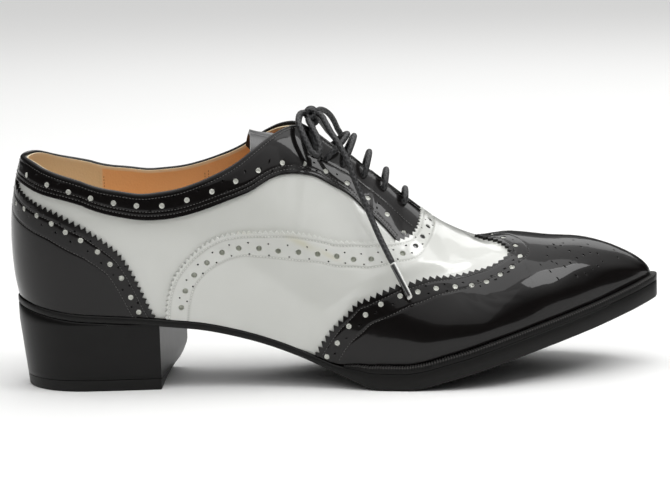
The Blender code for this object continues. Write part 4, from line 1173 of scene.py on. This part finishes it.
FACING_HOLES = (
    (127.0, 0.688), (136.0, 0.719), (145.0, 0.719), (153.5, 0.713), (161.4, 0.688), (168.4, 0.650),
)
facing_low = np.concatenate([edge_of(FACING_EDGE, 500), edge_of(FACING_FRONT, 200)[1:]])
FACING_SEAM = ((126, 0.722), (135, 0.769), (144, 0.775), (152, 0.769), (163.4, 0.744), (172.5, 0.715))
FACINGS = ((OUTER, "facing_outer_patent", "facing_lateral"), (INNER, "facing_inner_patent", "facing_medial"))
for side, name, node in FACINGS:
    facing = Panel(PANEL_FACE, 0.0)
    runs = np.linspace(FACING_START, FACING_STOP, 500)
    top = facing_top(side, runs)
    lowered = top - ROLL_BELOW / upright(side, runs, top)
    facing_high = np.stack([runs, lowered], -1)
    facing.patch(side, facing_high, facing_low, 58, free_low=True, top=facing_level)
    facing.close("first")
    facing.close("last")
    steps = np.linspace(FACING_START, FACING_STOP, 120)
    fold_over(side, steps, facing_top(side, steps))
    big, small = punched_row(FACING_HOLES, (side,), 1.4 * MM)
    seams = [(side, moved(edge_of(FACING_EDGE), by)) for by in (1.0 * MM, 2.3 * MM)]
    seams.append((side, line_of(FACING_SEAM)))
    seams.append((side, moved(facing_high, -1.0 * MM)))
    thread_rows += [(side, line, PANEL_FACE, "black") for side, line in seams]
    eyelets = [(side, run * SOLE_LENGTH, rise, EYELET_RADIUS) for run, rise in EYELETS]
    made = facing.finish(name, black, big, small, seams, eyelets)
    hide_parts(node)

binding = new_piece("topline_fold", np.concatenate(roll_points), roll_faces, black, recalculate=False,
                    sharp=0)

# The vamp
# A white patent panel laid over the facings and the quarters. Its pinked upper edge sweeps from the waist
# to the throat, with a row of holes between two stitched lines. Under the wing tip it is skived thin.
VAMP_EDGE = (
    (0.246, 0.0), (0.250, 0.088), (0.259, 0.163), (0.277, 0.225), (0.300, 0.281), (0.327, 0.325),
    (0.365, 0.356), (0.405, 0.375), (0.453, 0.403), (0.487, 0.430), (0.522, 0.452), (0.560, 0.498),
    (0.590, 0.548), (0.608, 0.603), (0.618, 0.640), (0.625, 0.685), (0.632, 0.765), (0.636, 0.865),
    (0.640, 0.965), (0.643, 1.0),
)
WING_EDGE = (
    (0.4655, 0.0), (0.4748, 0.056), (0.4892, 0.125), (0.5018, 0.169), (0.5162, 0.206), (0.5324, 0.256),
    (0.5504, 0.288), (0.5716, 0.331), (0.5932, 0.381), (0.6147, 0.419), (0.6345, 0.463),
    (0.6489, 0.488), (0.6705, 0.519), (0.6903, 0.550), (0.7047, 0.578), (0.7209, 0.600),
    (0.7371, 0.619), (0.7478, 0.638), (0.7568, 0.663), (0.7640, 0.697), (0.7628, 0.750),
    (0.7565, 0.812), (0.7480, 0.868), (0.7380, 0.912), (0.7280, 0.944), (0.7173, 1.0),
)
wing_edge = edge_of(WING_EDGE, 900)
wing_edge[[0, -1], 1] = (0.0, 1.0)


def distance_to(side, run, rise, line, step=1.5 * MM):
    """Distance over the last from each place to a line of (run, rise)."""
    even = spread(side, line, np.arange(0, lengths_of(side, line)[-1], step))
    spots = skin(side, even[:, 0], even[:, 1], np.zeros(len(even)))
    here = skin(side, run, rise, np.zeros(run.shape)).reshape(-1, 3)
    least = np.full(len(here), 1.0)
    for block in np.array_split(np.arange(len(here)), max(1, len(here) // 5000)):
        least[block] = np.min(np.linalg.norm(here[block][:, None] - spots[None], axis=2), axis=1)
    return least.reshape(run.shape)


def vamp_level(side, run, rise):
    """Full thickness, skived to less than half under the wing tip."""
    near = np.clip(distance_to(side, run, rise, wing_edge) / (7 * MM), 0, 1)
    thin = near * near * (3 - 2 * near)
    return 0.30 * MM + (PANEL_FACE + 0.1 * MM - 0.30 * MM) * thin


# Yellowish rubbed spots: (run, rise, half-length along and across in mm, strength).
SCUFFS = ((0.125, 0.385, 5.5, 1.1, 0.45), (0.137, 0.392, 4.0, 0.9, 0.40), (0.098, 0.372, 6.0, 0.8, 0.25))


def scuffed(side, run, rise):
    """How yellowed the white is: soft spots on the outer side."""
    amount = np.zeros(run.shape)
    for spot_run, spot_rise, along, across, strength in SCUFFS:
        x = (run - spot_run) / (along * MM)
        y = (rise - spot_rise) * RIDGE_HEIGHT / (across * MM)
        amount += strength * np.exp(-(x**2) - y**2) * (side == OUTER)
    return np.clip(amount, 0, 1)


vamp = Panel(PANEL_FACE, 0.0)
vamp_edge = moved(edge_of(VAMP_EDGE, 600), 1.7 * MM)
vamp_edge[0, 1] = 0.0
throat_point = (vamp_edge[-1, 0], 1.0)
vamp_ridge = edge_of(((throat_point[0] / SOLE_LENGTH, 1.0), (0.68, 1.0), (0.717, 1.0)), 80)
vamp_high = np.concatenate([vamp_edge[:-1], vamp_ridge])
under_wing = moved(wing_edge[:-30], -2.5 * MM)
start_foot = edge_of(((0.33, 0.0), (0.40, 0.0), (0.466, 0.0)), 120)
start_foot = start_foot[start_foot[:, 0] < under_wing[0, 0] - MM]
vamp_low = np.concatenate([start_foot, under_wing, np.array([[0.722 * SOLE_LENGTH, 1.0]])])
for side in SIDES:
    vamp.patch(side, vamp_low, vamp_high, 62, pitch=2.3 * MM, tooth=1.0 * MM, top=vamp_level, scuffs=scuffed,
               fine=((14, 36),))
VAMP_HOLES = (
    (74.0, 0.062), (76.0, 0.131), (80.0, 0.194), (85.5, 0.244), (92.0, 0.288), (99.0, 0.312),
    (107.5, 0.325), (115.5, 0.331), (124.0, 0.350), (132.0, 0.375), (140.0, 0.400), (147.0, 0.406),
    (154.4, 0.438), (161.4, 0.481), (167.4, 0.531), (172.9, 0.606), (175.9, 0.688), (178.4, 0.794),
    (179.6, 0.890), (180.0, 0.985),
)
vamp_big, vamp_small = punched_row(VAMP_HOLES, apart=1.6 * MM)
VAMP_SEAM_LOW = (
    (76.5, 0.0), (77.5, 0.075), (80.0, 0.150), (85.5, 0.213), (92.0, 0.256), (100.0, 0.288),
    (109.5, 0.300), (122.5, 0.319), (135.0, 0.356), (148.0, 0.381), (157.4, 0.419), (163.9, 0.469),
    (172.9, 0.544), (177.9, 0.663), (181.2, 0.825), (182.0, 0.985),
)
vamp_seams = []
for side in SIDES:
    vamp_seams += [(side, moved(vamp_edge, -1.9 * MM)), (side, line_of(VAMP_SEAM_LOW))]
thread_rows += [(side, line, PANEL_FACE, "white") for side, line in vamp_seams]
vamp_piece = vamp.finish("vamp_patent", white, vamp_big, vamp_small, vamp_seams)
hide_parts("vamp")

# The wing tip
# The black toe panel over the vamp, pinked along its peak and wings, with a row of holes beside the edge
# and a traditional medallion of punched dots on the toe.
WING_SEAMS = (2.7 * MM, 8.6 * MM)
WING_PEAK = 214 * MM
wing = Panel(PANEL_FACE + 0.25 * MM, 0.32 * MM)
wing_ridge = edge_of(((0.720, 1.0), (0.80, 1.0), (0.90, 1.0), (TIP_SHARE, 1.0)), 400)
wing_high = np.concatenate([wing_edge, wing_ridge])
wing_low = edge_of(((0.53, 0.0), (0.70, 0.0), (0.85, 0.0), (TIP_SHARE, 0.0)), 600)
WING_HOLES = (
    (135.0, 0.019), (139.5, 0.088), (144.5, 0.156), (151.5, 0.213), (158.0, 0.269), (166.0, 0.331),
    (173.4, 0.375), (181.0, 0.419), (189.0, 0.450), (196.0, 0.469), (202.4, 0.488), (208.4, 0.519),
    (213.6, 0.556), (217.4, 0.650), (216.0, 0.769), (211.6, 0.895), (207.0, 0.985),
)
wing_big, wing_small = punched_row(WING_HOLES, apart=1.6 * MM)
# The medallion, half of it: (run in mm, rise, big or not).
MEDALLION = (
    (219.9, 0.938, 0), (229.4, 0.990, 1), (236.9, 0.990, 0), (244.4, 0.985, 1), (251.4, 0.985, 0),
    (236.4, 0.806, 0), (241.4, 0.869, 0), (247.4, 0.931, 0), (251.4, 0.931, 0), (229.4, 0.744, 0),
    (232.9, 0.725, 0), (232.4, 0.788, 0), (235.4, 0.756, 0), (238.9, 0.675, 1), (243.9, 0.725, 0),
    (247.4, 0.794, 0), (255.9, 0.913, 0), (228.9, 0.638, 0), (230.4, 0.569, 0), (225.4, 0.544, 1),
    (232.4, 0.537, 0), (238.4, 0.525, 0), (241.4, 0.562, 0), (244.4, 0.606, 0), (247.4, 0.638, 0),
    (250.9, 0.631, 0), (229.4, 0.469, 0), (235.9, 0.488, 0), (232.4, 0.388, 0), (240.4, 0.369, 0),
    (244.4, 0.369, 0), (247.4, 0.413, 0), (249.9, 0.450, 0), (252.4, 0.506, 0), (258.4, 0.763, 0),
    (259.4, 0.619, 0),
)
MEDALLION_BIG = 0.75 * MM
for run, rise, large in MEDALLION:
    for side in SIDES:
        wing_small.append((side, run * MM, rise, MEDALLION_BIG if large else PIN_HOLE * 1.2))
for side in SIDES:
    wing.patch(side, wing_low, wing_high, 94, pitch=2.9 * MM, tooth=1.55 * MM, fine=((12, 30), (36, 40)),
               around=WING_PEAK)
wing_seams = [(side, moved(wing_edge[:-8], -by)) for side in SIDES for by in WING_SEAMS]
thread_rows += [(side, line[line[:, 1] > 0.01], wing.top, "black") for side, line in wing_seams]
wing_piece = wing.finish("wing_tip_patent", black, wing_big, wing_small, wing_seams)
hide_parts("wing_tip")

# The tongue
# Black grained leather under the throat, caught below the vamp. Its free end lies between the facings and
# sags below the lacing.
TONGUE = 0.0016
TONGUE_TOP = -WALL - 2 * GAP
TONGUE_SAG = 0.0122
TONGUE_DIP = 0.0065
SAG_LENGTH = 0.0500
DIP_LENGTH = 20 * MM
NARROW_LENGTH = 30 * MM
NARROW_RISE = 0.88
SAG_AT_EDGE = 0.15
SAG_FROM_RISE = 0.8
TONGUE_EDGE = np.array((
    (0.381, 0.680), (0.388, 0.674), (0.42, 0.680), (0.47, 0.710), (0.54, 0.745), (0.60, 0.775), (0.64, 0.830),
    (0.655, 0.900),
))

# Grained leather with a thin lacquer: its gloss is broken up by pebbles of about a millimetre.
tongue_leather, tree, shader = new_finish(
    "tongue_patent", {"Roughness": 0.4, "Coat Weight": 0.6, "Coat Roughness": 0.2, "Coat IOR": 1.5}
)
place = add(tree, "ShaderNodeTexCoord")
grain = add(tree, "ShaderNodeTexVoronoi", {"Scale": 900.0}, {"Vector": place.outputs["Object"]})
shade = add(tree, "ShaderNodeMix", {6: linear("#141415"), 7: linear("#202021")},
            {0: grain.outputs["Distance"]}, data_type="RGBA")
bump = add(tree, "ShaderNodeBump", {"Strength": 0.5, "Distance": 0.2 * MM},
           {"Height": grain.outputs["Distance"]})
tree.links.new(shade.outputs[2], shader.inputs["Base Color"])
tree.links.new(bump.outputs["Normal"], shader.inputs["Normal"])


def tongue_sag(run, rise):
    """How far the free end lies below the last: a slope and a half wave, most of all in its middle."""
    behind = run - TONGUE_EDGE[0, 0] * SOLE_LENGTH
    free = np.clip(1.0 - behind / SAG_LENGTH, 0, None)
    dip = TONGUE_DIP * np.sin(pi * np.clip(behind / DIP_LENGTH, 0, 1))
    middle = np.clip((rise - SAG_FROM_RISE) / (1 - SAG_FROM_RISE), 0, None)
    return (TONGUE_SAG * free**0.8 + dip) * (SAG_AT_EDGE + (1 - SAG_AT_EDGE) * middle)


def tongue_sheet():
    """One sheet over the ridge from the outer edge to the inner one, with its back, narrower inside."""
    columns, half_rows = 90, 24
    runs = np.linspace(TONGUE_EDGE[0, 0], TONGUE_EDGE[-1, 0], columns) * SOLE_LENGTH
    low = through(*TONGUE_EDGE.T, runs / SOLE_LENGTH)
    sheets = []
    for level in (TONGUE_TOP, TONGUE_TOP - TONGUE):
        halves = []
        for side in SIDES:
            share = np.linspace(0, 1, half_rows)[None, :]
            narrow = np.clip(1 - (runs - runs[0]) / NARROW_LENGTH, 0, 1) * (side == INNER)
            start = (low + (NARROW_RISE - low) * narrow)[:, None]
            rise = start + (1 - start) * share
            run = np.repeat(runs[:, None], half_rows, 1)
            halves.append(skin(side, run, rise, level - tongue_sag(run, rise)))
        sheets.append(np.concatenate([halves[0], halves[1][:, -2::-1]], axis=1))
    rows = sheets[0].shape[1]
    points = np.concatenate([sheet.reshape(-1, 3) for sheet in sheets])
    faces = grid(columns, rows) + grid(columns, rows, columns * rows)
    rim = [i * rows for i in range(columns)] + [(columns - 1) * rows + k for k in range(1, rows)]
    rim += [i * rows + rows - 1 for i in range(columns - 2, -1, -1)] + [k for k in range(rows - 2, 0, -1)]
    for a, b in zip(rim, rim[1:] + rim[:1]):
        faces.append((a, b, b + columns * rows, a + columns * rows))
    return points, faces


tongue = new_piece("tongue_leather", *tongue_sheet(), tongue_leather)
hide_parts("tongue")

# The stitching
# Lock stitches in waxed thread, about 1.35 mm apart, lying in shallow grooves. Each is a small closed
# spindle.
STITCH_PITCH = 1.35 * MM
STITCH_LENGTH = 1.0 * MM
THREAD = 0.34 * MM

THREAD_COLOURS = (
    ("black", "#353433", "#6A6967"),
    ("white", "#CFD0C8", "#EDEDE8"),
    ("brown", "#7A5230", "#9C7148"),
)
# Waxed thread: a soft sheen, with stripes of painted highlight where its twist stands up.
thread_finishes = {}
for name, code, raised_twist_highlight in THREAD_COLOURS:
    thread, tree, shader = new_finish(f"{name}_thread", {"Roughness": 0.55, "Specular IOR Level": 0.4})
    place = add(tree, "ShaderNodeTexCoord")
    twist = add(tree, "ShaderNodeTexWave", {"Scale": 1500.0, "Distortion": 1.0},
                {"Vector": place.outputs["Object"]})
    shade = add(tree, "ShaderNodeMix", {6: linear(code), 7: linear(raised_twist_highlight)},
                {0: twist.outputs["Fac"]}, data_type="RGBA")
    tree.links.new(shade.outputs[2], shader.inputs["Base Color"])
    thread_finishes[name] = thread


def stitches(rows):
    """All stitches of one colour as spindles: three rings of five points and a point at each end."""
    ring = np.arange(5) * 2 * pi / 5
    stations = ((-0.32, 0.8), (0.0, 1.0), (0.32, 0.8))
    points, faces = [], []
    for side, line, level, _ in rows:
        total = lengths_of(side, line)[-1]
        middles = np.arange(STITCH_PITCH, total - STITCH_PITCH, STITCH_PITCH)
        if not len(middles):
            continue
        spots = [spread(side, line, middles + by) for by in (-0.3 * MM, 0.0, 0.3 * MM)]
        sunk = level - 0.02 * MM
        before, centre, after = (skin(side, *spot.T, np.full(len(spot), sunk)) for spot in spots)
        way = unit(after - before)
        up = outward(side, spots[1][:, 0], spots[1][:, 1])
        across = np.cross(way, up)
        body = [centre - way * STITCH_LENGTH / 2 - up * 0.08 * MM]
        for along, size in stations:
            for angle in ring:
                reach = across * cos(angle) * THREAD / 2 + up * sin(angle) * THREAD * 0.36
                body.append(centre + way * STITCH_LENGTH * along + reach * size)
        body.append(centre + way * STITCH_LENGTH / 2 - up * 0.08 * MM)
        body = np.stack(body, 1)
        base = sum(len(part) for part in points)
        one = []
        for k in range(5):
            n = (k + 1) % 5
            one.append((0, 1 + n, 1 + k))
            one.append((1 + k, 1 + n, 6 + n, 6 + k))
            one.append((6 + k, 6 + n, 11 + n, 11 + k))
            one.append((11 + k, 11 + n, 16))
        for number in range(len(middles)):
            start = base + number * 17
            faces += [tuple(start + corner for corner in face) for face in one]
        points.append(body.reshape(-1, 3))
    return np.concatenate(points), faces


for side in SIDES:
    for run in (POCKET_RUN + 0.9 * MM, SEAM_RUN - 0.8 * MM, SEAM_RUN + 0.8 * MM):
        top = float(topline(side, np.array(run))) - 0.035
        thread_rows.append((side, np.array(((run, 0.06), (run, top))), -WALL - LINING - 0.05 * MM, "brown"))
for name in ("black", "white", "brown"):
    threads = new_piece(f"{name}_stitching", *stitches([row for row in thread_rows if row[3] == name]),
                        thread_finishes[name], recalculate=False, sharp=0)

# The laces
# A round black waxed cotton lace, woven over a core. Six crossings over the throat come out of the lace
# holes, two of them out of the topmost pair.
LACE = 0.0025
LACE_SEAT = 0.0009
AGLET_LENGTH = 0.0170
AGLET = 0.0031
BAR_END_OUT = -1.2 * MM
BAR_END_DROP = 0.012
# The crossings: share of the sole's length, rise of the holes, height over the ridge and lean to the toe.
BARS = (
    (0.606, 0.869, 0.0037, -0.0006),
    (0.575, 0.850, 0.0051, -0.0010),
    (0.545, 0.838, 0.0069, -0.0012),
    (0.516, 0.819, 0.0085, 0.0011),
    (0.491, 0.795, 0.0082, 0.0056),
    (0.474, 0.770, 0.0029, -0.0036),
)

# Waxed cotton: a dull sheen over a diagonal weave, whose raised strands are painted lighter as a highlight.
cotton, tree, shader = new_finish("waxed_cotton", {"Roughness": 0.5, "Specular IOR Level": 0.5})
around = add(tree, "ShaderNodeAttribute", attribute_name="around")
along = add(tree, "ShaderNodeAttribute", attribute_name="along")
strands = {0: along.outputs["Fac"], 1: around.outputs["Fac"]}
plus = add(tree, "ShaderNodeMath", sources=strands, operation="ADD")
minus = add(tree, "ShaderNodeMath", sources=strands, operation="SUBTRACT")
one = add(tree, "ShaderNodeMath", sources={0: plus.outputs[0]}, operation="SINE")
two = add(tree, "ShaderNodeMath", sources={0: minus.outputs[0]}, operation="SINE")
weave = add(tree, "ShaderNodeMath", sources={0: one.outputs[0], 1: two.outputs[0]}, operation="MAXIMUM")
# The weave's raised strands get the lighter colour: painted highlight.
shade = add(tree, "ShaderNodeMix", {6: linear("#1B1B1C"), 7: linear("#343435")}, {0: weave.outputs[0]},
            data_type="RGBA")
bump = add(tree, "ShaderNodeBump", {"Strength": 0.6, "Distance": 0.15 * MM}, {"Height": weave.outputs[0]})
tree.links.new(shade.outputs[2], shader.inputs["Base Color"])
tree.links.new(bump.outputs["Normal"], shader.inputs["Normal"])


def smooth_path(points, spacing):
    """A smooth curve through points, read at even distances."""
    points = np.array(points, float)
    lengths = distances(points)
    fine = np.linspace(0, lengths[-1], 800)
    line = np.stack([through(lengths, points[:, k], fine) for k in range(3)], -1)
    lengths = distances(line)
    even = np.linspace(0, lengths[-1], max(4, int(lengths[-1] / spacing)))
    return read(line, lengths, even)


def rope(path, diameter, sides=14, ends=0.75):
    """A round tube along a path, its section carried without twist, with rounded ends."""
    steps = unit(np.gradient(path, axis=0))
    normal = np.cross(steps[0], (0.3, 0.5, 0.8))
    frames = []
    for step in steps:
        normal = normal - step * np.dot(normal, step)
        normal = normal / np.linalg.norm(normal)
        frames.append(normal)
    frames = np.array(frames)
    others = np.cross(steps, frames)
    angle = np.linspace(0, 2 * pi, sides, endpoint=False)
    radius = np.full(len(path), diameter / 2)
    radius[[0, -1]] *= ends
    ring = frames[:, None] * np.cos(angle)[None, :, None] + others[:, None] * np.sin(angle)[None, :, None]
    points = path[:, None] + ring * radius[:, None, None]
    fields = {
        "around": np.tile(np.abs(angle - pi) * 4, len(path)),
        "along": np.repeat(distances(path) / MM * 2.6, sides),
    }
    return points.reshape(-1, 3), tube(len(path), sides), fields


def one_place(side, share, rise, out):
    """A single point over the last."""
    return skin(side, np.array(share * SOLE_LENGTH), np.array(rise), np.array(out))


for number, (share, rise, height, lean) in enumerate(BARS, 1):
    seat_out = PANEL_FACE + GAP + LACE_SEAT
    ends = [one_place(side, share, rise, seat_out) for side in SIDES]
    crest = one_place(OUTER, share, 1.0, 0.0)
    up = outward(OUTER, np.array(share * SOLE_LENGTH), np.array(1.0))
    toe_way = np.array((up[2], 0, -up[0]))
    to_peak = crest + up * height + toe_way * lean - (ends[0] + ends[1]) / 2
    turn = pi * np.arange(9) / 8
    arch = [ends[0] + (ends[1] - ends[0]) * (1 - cos(t)) / 2 + to_peak * sin(t) for t in turn]
    inside = [one_place(side, share, rise - BAR_END_DROP, BAR_END_OUT) for side in SIDES]
    path = smooth_path([inside[0], *arch, inside[1]], 0.6 * MM)
    points, faces, fields = rope(path, LACE)
    bar = new_piece(f"lace_crossing_{number}", points, faces, cotton, fields, sharp=0)
    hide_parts(f"lace_bar_{number}")

# The bow
# The knot is lace wound over a tight core. From it hang a loop and a free end on each side, the ends
# tipped with a clear sleeve over the lace.
low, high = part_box("lace_knot")
KNOT_CENTRE = np.array((low + high) / 2)
LOOP_OUTER = (
    (-0.0024, -0.0020, -0.0006), (-0.0038, -0.0044, 0.0002), (-0.0050, -0.0078, -0.0004),
    (-0.0054, -0.0112, -0.0024), (-0.0038, -0.0162, -0.0066), (-0.0018, -0.0189, -0.0110),
    (0.0006, -0.0210, -0.0149), (0.0024, -0.0217, -0.0158), (0.0036, -0.0207, -0.0138),
    (0.0028, -0.0176, -0.0096), (0.0008, -0.0132, -0.0058), (-0.0006, -0.0092, -0.0038),
    (-0.0012, -0.0061, -0.0030), (-0.0013, -0.0034, -0.0026),
)
LOOP_INNER = (
    (0.0024, 0.0020, 0.0000), (0.0037, 0.0044, 0.0004), (0.0056, 0.0075, -0.0004),
    (0.0078, 0.0115, -0.0026), (0.0095, 0.0152, -0.0056), (0.0110, 0.0192, -0.0096),
    (0.0124, 0.0228, -0.0140), (0.0110, 0.0240, -0.0150), (0.0078, 0.0210, -0.0118),
    (0.0054, 0.0160, -0.0080), (0.0040, 0.0108, -0.0054), (0.0027, 0.0062, -0.0036),
    (0.0017, 0.0033, -0.0028),
)
END_OUTER = (
    (0.0028, -0.0024, -0.0004), (0.0045, -0.0052, -0.0012), (0.0062, -0.0092, -0.0038),
    (0.0085, -0.0137, -0.0076), (0.0117, -0.0179, -0.0124), (0.0145, -0.0209, -0.0176),
    (0.0182, -0.0242, -0.0277), (0.0229, -0.0277, -0.0390), (0.0271, -0.0323, -0.0491),
    (0.0324, -0.0379, -0.0599),
)
END_INNER = (
    (-0.0025, 0.0028, -0.0004), (-0.0040, 0.0054, -0.0012), (-0.0052, 0.0098, -0.0040),
    (-0.0053, 0.0150, -0.0090), (-0.0047, 0.0205, -0.0160), (-0.0034, 0.0252, -0.0240),
    (-0.0010, 0.0290, -0.0330), (0.0018, 0.0318, -0.0430), (0.0042, 0.0335, -0.0520),
)


def knot_mesh():
    """Wraps: closed elliptical turns of lace about the core, each tilted and moved a little."""
    wraps = (
        # half-widths along and up, tilt about the cross axis in degrees, moved by (x, y, z)
        (1.8 * MM, 2.2 * MM, 12.0, (-0.2 * MM, -1.6 * MM, -0.7 * MM)),
        (1.8 * MM, 2.2 * MM, -8.0, (0.0, 0.5 * MM, -0.3 * MM)),
        (1.5 * MM, 1.8 * MM, 20.0, (0.5 * MM, 2.2 * MM, -0.9 * MM)),
        (1.2 * MM, 1.7 * MM, 35.0, (0.9 * MM, -0.6 * MM, -3.6 * MM)),
        (0.5 * MM, 0.6 * MM, 0.0, (0.2 * MM, 0.2 * MM, -1.2 * MM)),
    )
    points, faces, fields = [], [], {"around": [], "along": []}
    turn = np.linspace(0, 2 * pi, 40)
    for wide, tall, tilt, by in wraps:
        a = radians(tilt)
        x, z = wide * np.cos(turn), tall * np.sin(turn) * 0.75
        path = np.stack([x * cos(a) - z * sin(a), 0.25 * wide * np.sin(turn), x * sin(a) + z * cos(a)], -1)
        got, made, marks = rope(path + KNOT_CENTRE + by, LACE, sides=12, ends=1.0)
        start = sum(len(part) for part in points)
        faces += [[start + corner for corner in face] for face in made]
        points.append(got)
        for key in fields:
            fields[key].append(marks[key])
    return np.concatenate(points), faces, {key: np.concatenate(value) for key, value in fields.items()}


knot_points, knot_faces, knot_fields = knot_mesh()
knot = new_piece("bow_knot", knot_points, knot_faces, cotton, knot_fields, sharp=0)
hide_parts("lace_knot")

# Clear plastic shrunk over black lace: dark and glossy, with pale rims where the plastic is cut at its
# ends, and pale lines of painted highlight along its two narrow edges.
clear, tree, shader = new_finish(
    "clear_sleeve", {"Roughness": 0.18, "Coat Weight": 1.0, "Coat Roughness": 0.1}
)
place = add(tree, "ShaderNodeTexCoord")
cloud = add(tree, "ShaderNodeTexNoise", {"Scale": 300.0}, {"Vector": place.outputs["Object"]})
rim = add(tree, "ShaderNodeAttribute", attribute_name="rim")
shade = add(tree, "ShaderNodeMix", {6: linear("#2A2A2A"), 7: linear("#383838")}, {0: cloud.outputs["Fac"]},
            data_type="RGBA")
lit = add(tree, "ShaderNodeMix", {7: linear("#D8D8D4")}, {0: rim.outputs["Fac"], 6: shade.outputs[2]},
          data_type="RGBA")
tree.links.new(lit.outputs[2], shader.inputs["Base Color"])


def sleeve(start, way):
    """A flattened tube, squeezed to half its thickness at the far end, with a lip round each rim."""
    stations = np.array((0.0, 0.02, 0.06, 0.3, 0.6, 0.92, 0.97, 1.0))
    swell = np.array((0.70, 0.95, 1.0, 1.0, 1.0, 1.0, 0.95, 0.70))
    flat = np.interp(stations, (0, 1), (0.9, 0.55))
    across = np.cross(way, (0, 0, 1.0))
    across /= np.linalg.norm(across)
    up = np.cross(across, way)
    sides = 20
    angle = np.linspace(0, 2 * pi, sides, endpoint=False)
    ring = across[None, None] * np.sin(angle)[None, :, None] * flat[:, None, None]
    ring = ring + up[None, None] * np.cos(angle)[None, :, None]
    spine = start + way * (stations * AGLET_LENGTH)[:, None, None]
    points = spine + ring * (swell * AGLET / 2)[:, None, None]
    # Pale along the two narrow edges as painted highlight, and round both cut ends.
    edge = np.abs(np.cos(angle)) > 0.94
    cut_rims_and_edge_highlights = np.clip(edge[None, :] * 1.0 + ((stations < 0.03) | (stations > 0.95))[:, None] * 1.0, 0, 1)
    return points.reshape(-1, 3), tube(len(stations), sides), {"rim": cut_rims_and_edge_highlights.ravel()}


for name, route in (("lateral", LOOP_OUTER), ("medial", LOOP_INNER)):
    path = smooth_path(KNOT_CENTRE + np.array(route), 0.7 * MM)
    points, faces, fields = rope(path, LACE)
    loop = new_piece(f"bow_loop_{name}", points, faces, cotton, fields, sharp=0)
    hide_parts(f"lace_loop_{name}")

for name, route in (("lateral", END_OUTER), ("medial", END_INNER)):
    path = smooth_path(KNOT_CENTRE + np.array(route), 0.8 * MM)
    way = path[-1] - path[-3]
    way /= np.linalg.norm(way)
    points, faces, fields = rope(path, LACE)
    end = new_piece(f"bow_end_{name}", points, faces, cotton, fields, sharp=0)
    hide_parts(f"lace_end_{name}")
    points, faces, fields = sleeve(path[-1] + way * 0.1 * MM, way)
    tip_piece = new_piece(f"lace_tip_{name}", points, faces, clear, fields, sharp=0)
    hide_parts(f"aglet_{name}")
